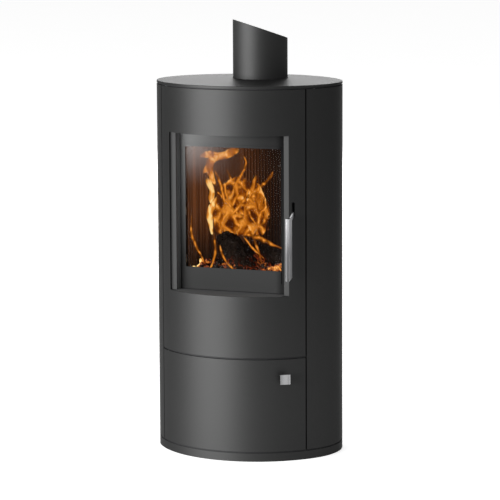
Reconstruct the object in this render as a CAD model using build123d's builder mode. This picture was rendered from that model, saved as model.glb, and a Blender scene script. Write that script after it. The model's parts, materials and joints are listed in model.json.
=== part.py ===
from build123d import *
import os
from math import asin, atan2, cos, degrees, hypot, pi, radians, sin, sqrt, tan

# Free-standing oval wood burning stove, in millimetres.
# Origin: centre of the oval on the floor. +Z up, +X towards the handle's side of the doors,
# -Y towards the person in front of them.

# ---------------------------------------------------------------- driving dimensions
# Oval plan of the body: four tangent arcs
body_width = 516
body_depth = 430
front_bulge = 45

# Heights
body_height = 1009
plinth_height = 22.5
split_height = 280
split_gap = 5

# Sheet metal
cover_thickness = 6
cover_edge = 0.8
plate_thickness = 3
skin_thickness = 3
panel_thickness = 2.5
flange_gap = 2
sheet = 2
frame_thickness = 4
shell_thickness = 4

# Clearances
edge_clearance = 1
seat_clearance = 0.3
running_clearance = 0.05
joint_gap = 0.5

# Doors
door_side_margin = 52
door_side_gap = 3.8
hinge_depth = 9
hinge_inset = 16
hinge_pin_radius = 3
hinge_pin_reach = 9
washer_radius = 5
rib_depth = 12
rib_height = 4
upright_width = 7
frame_gap = 5.8
frame_side_gap = 3

# Window
window_side_margin = 35
window_sill = 168
window_head = 122
surround_lap = 2.8
strip_width = 16
inner_frame_width = 17
seal_gap = 10
retainer_sill = 27
retainer_lower_height = 34
retainer_head = 33.5
retainer_upper_height = 6.5
retainer_lower_lap = 6
retainer_upper_lap = 1
glass_thickness = 4
gasket_thickness = 1
glass_overlap = 9
back_frame_reach = 12
back_frame_lap = 8
rope_radius = 4.7
rope_side_gap = 14
rope_sill = 18
rope_head = 5
rope_corner = 14
rope_wall = 1.6
rope_wall_height = 6
clip_width = 22
clip_reach = 14
clip_thickness = 1.5
clip_screw_offset = 4
clip_rows = 3
clip_foot_gap = 21
clip_head_gap = 47

# Handle and latch
handle_side_margin = 25.5
handle_width = 11
handle_depth = 22
handle_setback = 21
handle_length = 167
handle_drop = 19
handle_bevel = 8
handle_edge = 1.5
lever_thickness = 4
lever_arm_height = 8
lever_bite = 2
lever_joint_height = 14
latch_pivot_gap = 14
latch_pivot_z = 680
latch_pin_radius = 4
latch_boss_radius = 9
hook_reach = 29
hook_height = 8
hook_nose = 3
hook_clearance = 1
hook_lead = 5
hook_point = 1.5
handle_swing = 30
bracket_gap = 0.5
cheek_thickness = 3
cheek_depth = 7
cheek_rise = 12
latch_slot_width = 18
latch_slot_margin = 6
keeper_radius = 4
keeper_ear_thickness = 3
keeper_ear_depth = 16
keeper_ear_height = 18
slot_width = 6.5
slot_drop = 22
slot_rise = 20

# Lower door knob
knob_side = 27
knob_thickness = 10
knob_stand = 16
knob_stem_radius = 6.5
knob_side_margin = 49
knob_height = 227.5
knob_edge = 0.6
catch_side_margin = 16
catch_height = 150
catch_width = 10
catch_length = 30
catch_depth = 6
strike_length = 24
strike_reach = 16
strike_thickness = 1.6
strike_gap = 0.4

# Fire chamber
chamber_jamb = 20
chamber_corner_width = 73
chamber_corner_depth = 86
chamber_rear_gap = 49
chamber_head_gap = 15
floor_thickness = 4
lining_thickness = 25
brick_thickness = 30
sill_rise = 8
groove_width = 4
groove_depth = 3
groove_pitch = 9
baffle_thickness = 25
baffle_drop = 38
baffle_setback = 59
mouth_side_gap = 10
mouth_sill = 22
mouth_head = 9
mouth_corner = 8
guard_height = 30

# Grate
grate_half_width = 80
grate_half_depth = 62
grate_slot_width = 6
grate_slots = 9
grate_bar_height = 12
grate_rim = 7
grate_overlap = 4
grate_slot_margin = 15
floor_ledge = 8

# Ash drawer
drawer_half_width = 120
drawer_depth = 160
drawer_height = 62
drawer_wall = 1.5
drawer_opening_gap = 1.5
drawer_front_margin = 9
drawer_front_thickness = 3
drawer_pull_reach = 24
drawer_pull_radius = 4
drawer_pull_half_width = 35
drawer_pull_bend = 9
drawer_lip = 4
runner_height = 6
runner_width = 14

# Lower compartment
compartment_side_gap = 23
compartment_sill = 14.5
compartment_head = 30.5
compartment_corner = 1.5
liner_side_gap = 7
liner_rear_gap = 6
liner_thickness = 1.5

# Combustion air
plenum_depth = 22
plenum_half_width = 112
plenum_gap = 8
plenum_wall = 1.5
duct_half_width = 70
duct_depth = 64
duct_rear_gap = 29
duct_foot_gap = 36.5
air_spigot_radius = 50
air_spigot_wall = 2
air_spigot_rise = 68
air_spigot_reach = 27
air_spigot_flange = 11
air_hole_gap = 12
air_slot_width = 26
air_slot_length = 50
air_slot_pitch = 56
air_slot_setback = 26
shutter_margin = 9
shutter_thickness = 3
shutter_travel = 28
stem_radius = 3
stem_rise = 10
air_knob_radius = 9
air_knob_length = 14

# Flue
flue_radius = 75
flue_wall = 2
flue_rear_gap = 130
flue_gap = 2
flue_stand = 160
flue_cut_drop = 52
flue_cut_bearing = 33
spigot_wall = 3
spigot_fit = 0.2
spigot_reach = 66
spigot_flange = 16
spigot_flange_thickness = 4

# Rear of the body
rear_half_angle = 32
vent_width = 5
vent_height = 60
vent_pitch = 12
vent_count = 15
vent_foot_gap = 43.5
vent_head_gap = 119
shield_stand_off = 16
shield_side_gap = 7
shield_thickness = 1.5
shield_foot_gap = 48.5
shield_head_gap = 55

# Fuel
ember_height = 24
ember_side_gap = 20.7
ember_front_gap = 11.5
ember_rear_lap = 12
ember_corner = 30
ember_slope = 25
log_taper = 0.97
base_log_radius = 38
rear_log_gap = 24
rear_log_end_gaps = (26.7, 40.7)
front_log_gap = 57.5
front_log_end_gap = 14.7
front_log_length = 106
cross_log_radius = 34
cross_log_x = -50
cross_log_laps = (30, 28)
lean_log_radius = 30
lean_log_gap = 32
lean_foot_x = 78
lean_log_length = 178

# Feet and screws
foot_radius = 14
foot_thickness = 5
foot_stud_radius = 4
foot_side_gap = 108
foot_end_gap = 95
clip_screw_radius = 2.5
screw_head_radius = 4
screw_head_height = 2.5
rear_screw_foot_gap = 23.5
rear_screw_step = 450
rear_screw_head_gap = 19
rear_screw_angle = 26
flange_screws = 4

# ---------------------------------------------------------------- values worked out from them
half_width = body_width / 2
half_depth = body_depth / 2
side_radius = half_depth - front_bulge
side_center = half_width - side_radius
front_radius = (side_center**2 + half_depth**2 - side_radius**2) / (2 * (half_depth - side_radius))
front_center = front_radius - half_depth
arc_join = degrees(atan2(side_center, front_center))
straight_ahead = 270

base_top = plinth_height + plate_thickness
cover_bottom = body_height - cover_thickness
top_plate_bottom = cover_bottom - plate_thickness
divider_bottom = split_height - plate_thickness / 2
divider_top = split_height + plate_thickness / 2
lower_door_bottom = base_top + edge_clearance
lower_door_top = split_height - split_gap / 2
fire_door_bottom = split_height + split_gap / 2
fire_door_top = top_plate_bottom - edge_clearance
plate_inset = panel_thickness + seat_clearance
drawer_bottom = divider_top + runner_height + seat_clearance
ash_opening_half_width = drawer_half_width + drawer_opening_gap
ash_opening_bottom = drawer_bottom - drawer_opening_gap
ash_opening_top = drawer_bottom + drawer_height + drawer_opening_gap
plenum_bottom = divider_bottom - plenum_depth
stem_height = plenum_bottom + stem_rise

# Across the front: doors, frames, window, mouth of the fire
door_half_width = half_width - door_side_margin
frame_half_width = door_half_width - frame_side_gap
window_half_width = door_half_width - window_side_margin
strip_inner = window_half_width - strip_width
surround_outer = window_half_width + surround_lap
glass_half_view = strip_inner - inner_frame_width
glass_half_width = glass_half_view + glass_overlap
mouth_half_width = glass_half_view + mouth_side_gap
rope_half_width = mouth_half_width + rope_side_gap
back_frame_half_width = rope_half_width + back_frame_reach
compartment_half_width = frame_half_width - compartment_side_gap
liner_half_width = frame_half_width - liner_side_gap
handle_x = door_half_width - handle_side_margin
knob_arc_x = door_half_width - knob_side_margin
catch_x = door_half_width - catch_side_margin
foot_x = half_width - foot_side_gap

door_half_angle = degrees(asin(door_half_width / front_radius))
panel_start_angle = door_half_angle + degrees(door_side_gap / front_radius)
hinge_angle = door_half_angle - degrees(hinge_inset / front_radius)


def on_front(angle, depth=0.0):
    """Plan point on the front arc, at an angle from straight ahead and a depth under the skin."""
    radius = front_radius - depth
    return (radius * sin(radians(angle)), front_center - radius * cos(radians(angle)))


hinge_x, hinge_y = on_front(-hinge_angle, hinge_depth)
rib_outer_radius = front_radius - skin_thickness - running_clearance
rib_inner_radius = rib_outer_radius - rib_depth

# From the door's edges backwards: frames, window, latch
frame_front_y = front_center - rib_inner_radius * cos(radians(door_half_angle)) + frame_gap
frame_rear_y = frame_front_y + frame_thickness
recess_y = frame_front_y - seal_gap - glass_thickness - gasket_thickness - sheet
strip_y = front_center - sqrt((front_radius - skin_thickness) ** 2 - (surround_outer + seat_clearance) ** 2)
latch_pivot_y = frame_front_y - latch_pivot_gap
handle_front_y = handle_setback - half_depth
flange_end = (front_center - frame_front_y + flange_gap) / cos(radians(panel_start_angle))
flange_depth = front_radius - panel_thickness - flange_end

# Upwards: window, mouth, fire chamber, latch, compartment
window_bottom = split_height + window_sill
window_top = fire_door_top - window_head
retainer_lower_bottom = window_bottom + retainer_sill
glass_view_bottom = retainer_lower_bottom + retainer_lower_height
retainer_upper_top = window_top - retainer_head
glass_view_top = retainer_upper_top - retainer_upper_height
mouth_bottom = window_bottom + mouth_sill
mouth_top = window_top - mouth_head
rope_bottom = mouth_bottom - rope_sill
rope_top = mouth_top + rope_head
back_frame_bottom = window_bottom - back_frame_lap
back_frame_top = window_top + back_frame_lap
chamber_top = top_plate_bottom - chamber_head_gap
fire_floor = mouth_bottom - sill_rise - brick_thickness
lining_height = mouth_top - baffle_drop - fire_floor
handle_top = latch_pivot_z - handle_drop
handle_bottom = handle_top - handle_length
slot_bottom = latch_pivot_z - slot_drop
slot_top = latch_pivot_z + slot_rise
compartment_bottom = base_top + compartment_sill
compartment_top = divider_bottom - compartment_head
duct_bottom = base_top + duct_foot_gap
air_spigot_height = duct_bottom + air_spigot_rise
flue_cut_high = body_height + flue_stand
flue_cut_low = flue_cut_high - flue_cut_drop
shield_bottom = divider_top + shield_foot_gap
shield_top = chamber_top - shield_head_gap

# From the rear forwards: chamber, heat shield, air duct, flue
chamber_half_width = mouth_half_width + chamber_jamb
chamber_rear_half_width = chamber_half_width - chamber_corner_width
chamber_rear_y = half_depth - chamber_rear_gap
chamber_corner_y = chamber_rear_y - chamber_corner_depth
shield_y = chamber_rear_y + shield_stand_off
shield_half_width = chamber_rear_half_width - shield_side_gap
duct_rear_y = half_depth - duct_rear_gap
duct_front_y = duct_rear_y - duct_depth
liner_rear_y = duct_front_y - liner_rear_gap
air_slot_y = duct_front_y - air_slot_setback
plenum_front_y = frame_rear_y + plenum_gap
rear_cut_depth = half_depth - duct_rear_y
baffle_front_y = frame_rear_y + baffle_setback
flue_y = half_depth - flue_rear_gap
foot_y = half_depth - foot_end_gap
lining_front_y = frame_rear_y + joint_gap
ember_front_y = lining_front_y + ember_front_gap
ember_rear_y = chamber_corner_y + ember_rear_lap
grate_center_y = (ember_front_y + ember_rear_y) / 2


# ---------------------------------------------------------------- shared outlines
def oval(inset=0.0):
    """The body's plan outline, moved inwards."""
    front = front_radius - inset
    side = side_radius - inset
    with BuildSketch() as outline:
        with BuildLine():
            CenterArc((0, front_center), front, straight_ahead - arc_join, 2 * arc_join)
            CenterArc((side_center, 0), side, arc_join - 90, 180 - 2 * arc_join)
            CenterArc((0, -front_center), front, 90 - arc_join, 2 * arc_join)
            CenterArc((-side_center, 0), side, arc_join + 90, 180 - 2 * arc_join)
        make_face()
    return outline.sketch


def arc_strip(depth, thickness, start, end):
    """A strip that follows the front arc, between two angles from straight ahead."""
    with BuildSketch() as strip:
        with BuildLine():
            first = straight_ahead + start
            outer = CenterArc((0, front_center), front_radius - depth, first, end - start)
            inner = CenterArc((0, front_center), front_radius - depth - thickness, first, end - start)
            Line(outer @ 0, inner @ 0)
            Line(outer @ 1, inner @ 1)
        make_face()
    return strip.sketch


def frame_outline(half, low, high, inner_half, inner_low, inner_high):
    """A rectangular frame, upright and centred on x = 0."""
    with BuildSketch() as outline:
        with Locations((0, (low + high) / 2)):
            Rectangle(2 * half, high - low)
        with Locations((0, (inner_low + inner_high) / 2)):
            Rectangle(2 * inner_half, inner_high - inner_low, mode=Mode.SUBTRACT)
    return outline.sketch


def rounded_frame(half, low, high, wall, corner):
    """An upright frame of even width with rounded corners; the sizes are those of its inner edge."""
    with BuildSketch() as outline:
        with Locations((0, (low + high) / 2)):
            RectangleRounded(2 * (half + wall), high - low + 2 * wall, corner + wall)
            RectangleRounded(2 * half, high - low, corner, mode=Mode.SUBTRACT)
    return outline.sketch


def upright(y):
    """A plane facing the front at depth y, with x across and its own y up."""
    return Plane(origin=(0, y, 0), x_dir=(1, 0, 0), z_dir=(0, -1, 0))


def sideways(x):
    """A plane square to x, with its own x towards the rear and its own y up."""
    return Plane(origin=(x, 0, 0), x_dir=(0, 1, 0), z_dir=(1, 0, 0))


def chamber_points(inset):
    """Corners of the fire chamber's plan, from front right round the rear to front left."""
    corner_turn = atan2(chamber_half_width - chamber_rear_half_width, chamber_rear_y - chamber_corner_y)
    side_x = chamber_half_width - inset
    corner_y = chamber_corner_y - inset * tan(corner_turn / 2)
    rear_x = chamber_rear_half_width - inset * tan((pi / 2 - corner_turn) / 2)
    rear_y = chamber_rear_y - inset
    front_y = frame_rear_y
    right = [(side_x, front_y), (side_x, corner_y), (rear_x, rear_y)]
    return right + [(-x, y) for x, y in reversed(right)]


def chamber_outline(inset, front_y=None):
    """The fire chamber's plan as a face, closed along its front."""
    points = chamber_points(inset)
    if front_y is not None:
        points = [(points[0][0], front_y)] + points[1:-1] + [(points[-1][0], front_y)]
    with BuildSketch() as outline:
        with BuildLine():
            Polyline(*points, close=True)
        make_face()
    return outline.sketch


def save(piece, name):
    """Label a finished piece and write it."""
    piece.part.label = name
    export_step(piece.part, f"parts/{name}.step")


os.makedirs("parts", exist_ok=True)

panel_end_angle = rear_half_angle + degrees(joint_gap / front_radius)
wedge_reach = 2 * body_depth
panel_ends = ((panel_start_angle, -1), (panel_end_angle, 1))


def flange_outline(angle, facing, grow=0.0):
    """Plan of a return flange: a strip square to the sheet, at one end of the right side panel."""
    outward = Vector(sin(radians(angle)), facing * cos(radians(angle)))
    along = Vector(cos(radians(angle)), -facing * sin(radians(angle)))
    start = Vector(0, -facing * front_center) + outward * (front_radius - panel_thickness)
    start += (outward - along) * grow
    inward = outward * -(flange_depth + 2 * grow)
    across = along * (sheet + 2 * grow)
    with BuildSketch() as outline:
        with BuildLine():
            Polyline(start, start + inward, start + inward + across, start + across, close=True)
        make_face()
    return outline.sketch


# ---------------------------------------------------------------- foot of the stove
# Plinth: a band that follows the oval and carries the base plate.
with BuildPart() as plinth:
    with BuildSketch():
        add(oval())
        add(oval(panel_thickness), mode=Mode.SUBTRACT)
    extrude(amount=plinth_height)
save(plinth, "plinth")

# Base plate: carries frames, panels and the lower hinge pin.
with BuildPart() as base_plate:
    with BuildSketch(Plane.XY.offset(plinth_height)):
        add(oval(plate_inset - panel_thickness + sheet))
        with Locations((hinge_x, hinge_y)):
            Circle(hinge_pin_radius, mode=Mode.SUBTRACT)
        with GridLocations(2 * foot_x, 2 * foot_y, 2, 2):
            Circle(foot_stud_radius + running_clearance, mode=Mode.SUBTRACT)
    extrude(amount=plate_thickness)
save(base_plate, "base_plate")

# Levelling feet: pad and stud, one at each corner.
with BuildPart() as levelling_feet:
    with BuildSketch():
        with GridLocations(2 * foot_x, 2 * foot_y, 2, 2):
            Circle(foot_radius)
    extrude(amount=foot_thickness)
    with BuildSketch(Plane.XY.offset(foot_thickness)):
        with GridLocations(2 * foot_x, 2 * foot_y, 2, 2):
            Circle(foot_stud_radius)
    extrude(amount=base_top + foot_thickness)
save(levelling_feet, "levelling_feet")

# ---------------------------------------------------------------- plates between and above the doors
# Divider plate: floor of the firebox, with the three air slots and the middle hinge pin.
with BuildPart() as divider_plate:
    with BuildSketch(Plane.XY.offset(divider_bottom)):
        add(oval(plate_inset))
        for angle, facing in panel_ends:
            notch = flange_outline(angle, facing, joint_gap)
            add(notch, mode=Mode.SUBTRACT)
            add(mirror(notch, about=Plane.YZ, mode=Mode.PRIVATE), mode=Mode.SUBTRACT)
        with Locations((hinge_x, hinge_y)):
            Circle(hinge_pin_radius, mode=Mode.SUBTRACT)
        with Locations((0, air_slot_y)):
            with GridLocations(air_slot_pitch, 0, 3, 1):
                Rectangle(air_slot_width, air_slot_length, mode=Mode.SUBTRACT)
    extrude(amount=plate_thickness)
save(divider_plate, "divider_plate")

flue_hole_radius = flue_radius + flue_gap

with BuildPart() as top_plate:
    with BuildSketch(Plane.XY.offset(top_plate_bottom)):
        add(oval(plate_inset))
        with Locations((hinge_x, hinge_y)):
            Circle(hinge_pin_radius, mode=Mode.SUBTRACT)
        with Locations((0, flue_y)):
            Circle(flue_hole_radius, mode=Mode.SUBTRACT)
    extrude(amount=plate_thickness)
save(top_plate, "top_plate")

with BuildPart() as top_cover:
    with BuildSketch(Plane.XY.offset(cover_bottom)):
        add(oval())
        with Locations((0, flue_y)):
            Circle(flue_hole_radius, mode=Mode.SUBTRACT)
    extrude(amount=cover_thickness)
    chamfer(top_cover.faces().sort_by(Axis.Z)[-1].outer_wire().edges(), cover_edge)
save(top_cover, "top_cover")

# ---------------------------------------------------------------- outer casing
panel_bottom = base_top + edge_clearance
panel_height = fire_door_top - panel_bottom
vent_rows = (panel_bottom + vent_foot_gap, fire_door_top - vent_head_gap)


def wedge(center_y, half_angle, reach, facing):
    """A triangle from an arc's centre out past the oval; facing is -1 to the front, +1 to the rear."""
    side = reach * tan(radians(half_angle))
    with BuildSketch() as triangle:
        with BuildLine():
            far_y = center_y + facing * reach
            Polyline((0, center_y), (side, far_y), (-side, far_y), close=True)
        make_face()
    return triangle.sketch


# Side panels: rolled sheet from the door edge round to the rear panel, with a return flange at each end.
with BuildPart() as right_side_panel:
    with BuildSketch(Plane.XY.offset(panel_bottom)):
        add(oval())
        add(oval(panel_thickness), mode=Mode.SUBTRACT)
        add(wedge(front_center, panel_start_angle, wedge_reach, -1), mode=Mode.SUBTRACT)
        add(wedge(-front_center, panel_end_angle, wedge_reach, 1), mode=Mode.SUBTRACT)
        with Locations((-half_width, 0)):
            Rectangle(body_width, 2 * body_depth, mode=Mode.SUBTRACT)
        for angle, facing in panel_ends:
            add(flange_outline(angle, facing))
    extrude(amount=panel_height)
save(right_side_panel, "right_side_panel")

with BuildPart() as left_side_panel:
    mirror(right_side_panel.part, about=Plane.YZ)
save(left_side_panel, "left_side_panel")

# Rear panel: rolled sheet with a row of convection slots low down and another under the top.
with BuildPart() as rear_panel:
    with BuildSketch(Plane.XY.offset(panel_bottom)):
        add(arc_strip(0, panel_thickness, -rear_half_angle, rear_half_angle).rotate(Axis.Z, 180))
    extrude(amount=panel_height)
    for row in vent_rows:
        with BuildSketch(upright(half_depth)):
            with Locations((0, row)):
                with GridLocations(vent_pitch, 0, vent_count, 1):
                    SlotOverall(vent_height, vent_width, rotation=90)
        extrude(amount=rear_cut_depth, both=True, mode=Mode.SUBTRACT)
    with BuildSketch(upright(half_depth)):
        with Locations((0, air_spigot_height)):
            Circle(air_spigot_radius + air_hole_gap)
    extrude(amount=rear_cut_depth, both=True, mode=Mode.SUBTRACT)
save(rear_panel, "rear_panel")

# Heat shield: folded channel that stands off the firebox's rear wall on its two side flanges.
with BuildPart() as rear_heat_shield:
    with BuildSketch(Plane.XY.offset(shield_bottom)):
        with Locations((0, (chamber_rear_y + seat_clearance + shield_y) / 2)):
            Rectangle(2 * shield_half_width, shield_y - chamber_rear_y - seat_clearance)
        with Locations((0, (chamber_rear_y + seat_clearance + shield_y) / 2 - shield_thickness)):
            Rectangle(
                2 * (shield_half_width - shield_thickness),
                shield_y - chamber_rear_y - seat_clearance,
                mode=Mode.SUBTRACT,
            )
    extrude(amount=shield_top - shield_bottom)
save(rear_heat_shield, "rear_heat_shield")

# ---------------------------------------------------------------- frames behind the doors
hook_drop = hook_reach * sin(radians(handle_swing))
latch_slot_bottom = latch_pivot_z - hook_height - hook_drop - latch_slot_margin
latch_slot_top = latch_pivot_z + hook_height / 2 + hook_nose + 2 * keeper_radius + latch_slot_margin

with BuildPart() as front_frame:
    with BuildSketch(upright(frame_front_y)):
        with Locations((0, (divider_top + top_plate_bottom) / 2)):
            Rectangle(2 * frame_half_width, top_plate_bottom - divider_top)
        with Locations((0, (mouth_bottom + mouth_top) / 2)):
            mouth_height = mouth_top - mouth_bottom
            RectangleRounded(2 * mouth_half_width, mouth_height, mouth_corner, mode=Mode.SUBTRACT)
        with Locations((0, (ash_opening_bottom + ash_opening_top) / 2)):
            Rectangle(2 * ash_opening_half_width, ash_opening_top - ash_opening_bottom, mode=Mode.SUBTRACT)
        with Locations((handle_x, (latch_slot_bottom + latch_slot_top) / 2)):
            Rectangle(latch_slot_width, latch_slot_top - latch_slot_bottom, mode=Mode.SUBTRACT)
    extrude(amount=-frame_thickness)
save(front_frame, "front_frame")

with BuildPart() as compartment_frame:
    with BuildSketch(upright(frame_front_y)):
        with Locations((0, (base_top + divider_bottom) / 2)):
            Rectangle(2 * frame_half_width, divider_bottom - base_top)
        with Locations((0, (compartment_bottom + compartment_top) / 2)):
            RectangleRounded(
                2 * compartment_half_width, compartment_top - compartment_bottom, compartment_corner,
                mode=Mode.SUBTRACT,
            )
        with Locations((-shutter_travel / 2, stem_height)):
            SlotOverall(shutter_travel + 4 * stem_radius, 3 * stem_radius, mode=Mode.SUBTRACT)
    extrude(amount=-frame_thickness)
save(compartment_frame, "compartment_frame")

with BuildPart() as compartment_liner:
    liner_depth = liner_rear_y - frame_rear_y
    with BuildSketch(Plane.XY.offset(base_top)):
        with Locations((0, frame_rear_y + liner_depth / 2)):
            Rectangle(2 * liner_half_width, liner_depth)
        with Locations((0, frame_rear_y + liner_depth / 2 - liner_thickness)):
            Rectangle(2 * (liner_half_width - liner_thickness), liner_depth, mode=Mode.SUBTRACT)
    extrude(amount=divider_bottom - plenum_depth - joint_gap - base_top)
save(compartment_liner, "compartment_liner")

# ---------------------------------------------------------------- firebox
with BuildPart() as firebox_shell:
    with BuildSketch(Plane.XY.offset(divider_top)):
        add(chamber_outline(0))
        add(chamber_outline(shell_thickness, frame_front_y), mode=Mode.SUBTRACT)
    extrude(amount=chamber_top - divider_top)
    with BuildSketch(Plane.XY.offset(chamber_top - shell_thickness)):
        add(chamber_outline(0))
        with Locations((0, flue_y)):
            Circle(flue_radius - flue_wall - spigot_fit - spigot_wall, mode=Mode.SUBTRACT)
    extrude(amount=shell_thickness)
    with BuildSketch(Plane.XY.offset(fire_floor - floor_thickness)):
        add(chamber_outline(0))
        with Locations((0, grate_center_y)):
            hole_half_depth = grate_half_depth - floor_ledge
            Rectangle(2 * (grate_half_width - floor_ledge), 2 * hole_half_depth, mode=Mode.SUBTRACT)
    extrude(amount=floor_thickness)
save(firebox_shell, "firebox_shell")

lining_outer = shell_thickness + seat_clearance
lining_inner = lining_outer + lining_thickness


def lining_board(first, second):
    """Mitred plan of one lining board, between two corners of the chamber."""
    outer = chamber_points(lining_outer)
    inner = chamber_points(lining_inner)
    corners = [outer[first], outer[second], inner[second], inner[first]]
    corners = [(x, max(y, lining_front_y)) for x, y in corners]
    with BuildSketch() as board:
        with BuildLine():
            Polyline(*corners, close=True)
        make_face()
    return board.sketch


def lining_grooves(first, second, margin):
    """Plan of the upright grooves in a board's fire side."""
    inner = chamber_points(lining_inner)
    start = Vector(*inner[first])
    end = Vector(*inner[second])
    length = (end - start).length - 2 * margin
    count = int(length / groove_pitch)
    middle = (start + end) * 0.5
    angle = degrees(atan2((end - start).Y, (end - start).X))
    with BuildSketch(Plane(origin=middle, x_dir=(end - start).normalized(), z_dir=(0, 0, 1))) as grooves:
        with GridLocations(groove_pitch, 0, count, 1):
            Rectangle(groove_width, 2 * groove_depth)
    return grooves.sketch


# Linings: boards of pressed vermiculite, with upright grooves on the side of the fire.
def make_lining(corner_pairs):
    with BuildPart() as boards:
        for first, second in corner_pairs:
            with BuildSketch(Plane.XY.offset(fire_floor)):
                add(lining_board(first, second))
                add(lining_grooves(first, second, groove_pitch), mode=Mode.SUBTRACT)
            extrude(amount=lining_height)
    return boards


save(make_lining([(0, 1)]), "right_lining")
save(make_lining([(4, 5)]), "left_lining")
save(make_lining([(2, 3)]), "rear_lining")
save(make_lining([(1, 2), (3, 4)]), "corner_linings")

# Floor bricks round the grate.
brick_inset = lining_inner + joint_gap
with BuildPart() as floor_bricks:
    with BuildSketch(Plane.XY.offset(fire_floor)):
        add(chamber_outline(brick_inset, lining_front_y))
        with Locations((0, grate_center_y)):
            hole_half_width = grate_half_width + joint_gap
            Rectangle(2 * hole_half_width, 2 * (grate_half_depth + joint_gap), mode=Mode.SUBTRACT)
        for side in (-1, 1):
            with Locations((side * (grate_half_width + joint_gap), 0)):
                Rectangle(joint_gap, body_depth, mode=Mode.SUBTRACT)
    extrude(amount=brick_thickness)
save(floor_bricks, "floor_bricks")

# Cast grate: a rim with bars across, standing on the floor plate.
with BuildPart() as grate:
    with BuildSketch(Plane.XY.offset(fire_floor)):
        with Locations((0, grate_center_y)):
            Rectangle(2 * grate_half_width, 2 * grate_half_depth)
            inner_half_depth = grate_half_depth - grate_rim
            Rectangle(2 * (grate_half_width - grate_rim), 2 * inner_half_depth, mode=Mode.SUBTRACT)
    extrude(amount=brick_thickness)
    with BuildSketch(Plane.XY.offset(fire_floor + brick_thickness - grate_bar_height)):
        with Locations((0, grate_center_y)):
            Rectangle(2 * (grate_half_width - grate_overlap), 2 * (grate_half_depth - grate_overlap))
            slot_length = 2 * (grate_half_depth - grate_slot_margin)
            with GridLocations(2 * grate_half_width / (grate_slots + 1), 0, grate_slots, 1):
                SlotOverall(slot_length, grate_slot_width, rotation=90, mode=Mode.SUBTRACT)
    extrude(amount=grate_bar_height)
save(grate, "grate")

fire_bed = fire_floor + brick_thickness

# Log guard: a low plate that keeps embers off the glass.
with BuildPart() as log_guard:
    with BuildSketch(upright(lining_front_y)):
        with Locations((0, fire_bed + guard_height / 2)):
            Rectangle(2 * (glass_half_view - edge_clearance), guard_height)
    extrude(amount=-plate_thickness)
save(log_guard, "log_guard")

# Baffle: a loose board on top of the linings, open along its front for the smoke.
with BuildPart() as baffle:
    with BuildSketch(Plane.XY.offset(fire_floor + lining_height)):
        add(chamber_outline(shell_thickness + 2, baffle_front_y))
    extrude(amount=baffle_thickness)
save(baffle, "baffle")

# ---------------------------------------------------------------- flue
spigot_radius = flue_radius - flue_wall - spigot_fit
pipe_bottom = chamber_top + spigot_flange_thickness

with BuildPart() as flue_spigot:
    with BuildSketch(Plane.XY.offset(chamber_top)):
        with Locations((0, flue_y)):
            Circle(spigot_radius + spigot_flange)
    extrude(amount=spigot_flange_thickness)
    with BuildSketch(Plane.XY.offset(pipe_bottom)):
        with Locations((0, flue_y)):
            Circle(spigot_radius)
    extrude(amount=spigot_reach)
    with BuildSketch(Plane.XY.offset(chamber_top)):
        with Locations((0, flue_y)):
            Circle(spigot_radius - spigot_wall)
    extrude(amount=spigot_flange_thickness + spigot_reach, mode=Mode.SUBTRACT)
save(flue_spigot, "flue_spigot")

# Flue pipe: a short length of standard pipe over the spigot, its upper end cut obliquely.
cut_slope = (flue_cut_high - flue_cut_low) / (2 * flue_radius)
cut_down = Vector(cos(radians(flue_cut_bearing)), sin(radians(flue_cut_bearing)), 0)
cut_normal = cut_down * cut_slope + Vector(0, 0, 1)
cut_center = Vector(0, flue_y, (flue_cut_high + flue_cut_low) / 2)

with BuildPart() as flue_pipe:
    with BuildSketch(Plane.XY.offset(pipe_bottom)):
        with Locations((0, flue_y)):
            Circle(flue_radius)
            Circle(flue_radius - flue_wall, mode=Mode.SUBTRACT)
    extrude(amount=flue_cut_high - pipe_bottom + 10)
    split(bisect_by=Plane(origin=cut_center, z_dir=cut_normal.normalized()), keep=Keep.BOTTOM)
save(flue_pipe, "flue_pipe")

# ---------------------------------------------------------------- hinge pins and washers
pin_spans = (
    (plinth_height, base_top + edge_clearance + hinge_pin_reach),
    (divider_bottom - edge_clearance - hinge_pin_reach, divider_top + edge_clearance + hinge_pin_reach),
    (top_plate_bottom - edge_clearance - hinge_pin_reach, cover_bottom),
)

with BuildPart() as hinge_pins:
    for low, high in pin_spans:
        with BuildSketch(Plane.XY.offset(low)):
            with Locations((hinge_x, hinge_y)):
                Circle(hinge_pin_radius)
        extrude(amount=high - low)
save(hinge_pins, "hinge_pins")

washer_height = edge_clearance - 2 * running_clearance

with BuildPart() as hinge_washers:
    for level in (base_top, divider_top):
        with BuildSketch(Plane.XY.offset(level)):
            with Locations((hinge_x, hinge_y)):
                Circle(washer_radius)
                Circle(hinge_pin_radius + running_clearance, mode=Mode.SUBTRACT)
        extrude(amount=washer_height)
save(hinge_washers, "hinge_washers")


# ---------------------------------------------------------------- doors
def door_ribs(bottom, top):
    """Rib frame behind a door skin: top and bottom ribs with hinge eyes, and two uprights."""
    upright_angle = degrees(upright_width / front_radius)
    edge = door_half_angle - degrees(edge_clearance / front_radius)
    rib_skin = front_radius - rib_outer_radius
    with BuildPart() as ribs:
        for level in (bottom, top - rib_height):
            with BuildSketch(Plane.XY.offset(level)):
                add(arc_strip(rib_skin, rib_depth, -edge, edge))
                with Locations((hinge_x, hinge_y)):
                    Circle(hinge_pin_radius + running_clearance, mode=Mode.SUBTRACT)
            extrude(amount=rib_height)
        with BuildSketch(Plane.XY.offset(bottom)):
            add(arc_strip(rib_skin, rib_depth, edge - upright_angle, edge))
            add(arc_strip(rib_skin, rib_depth, -edge, upright_angle - edge))
        extrude(amount=top - bottom)
    return ribs


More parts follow.
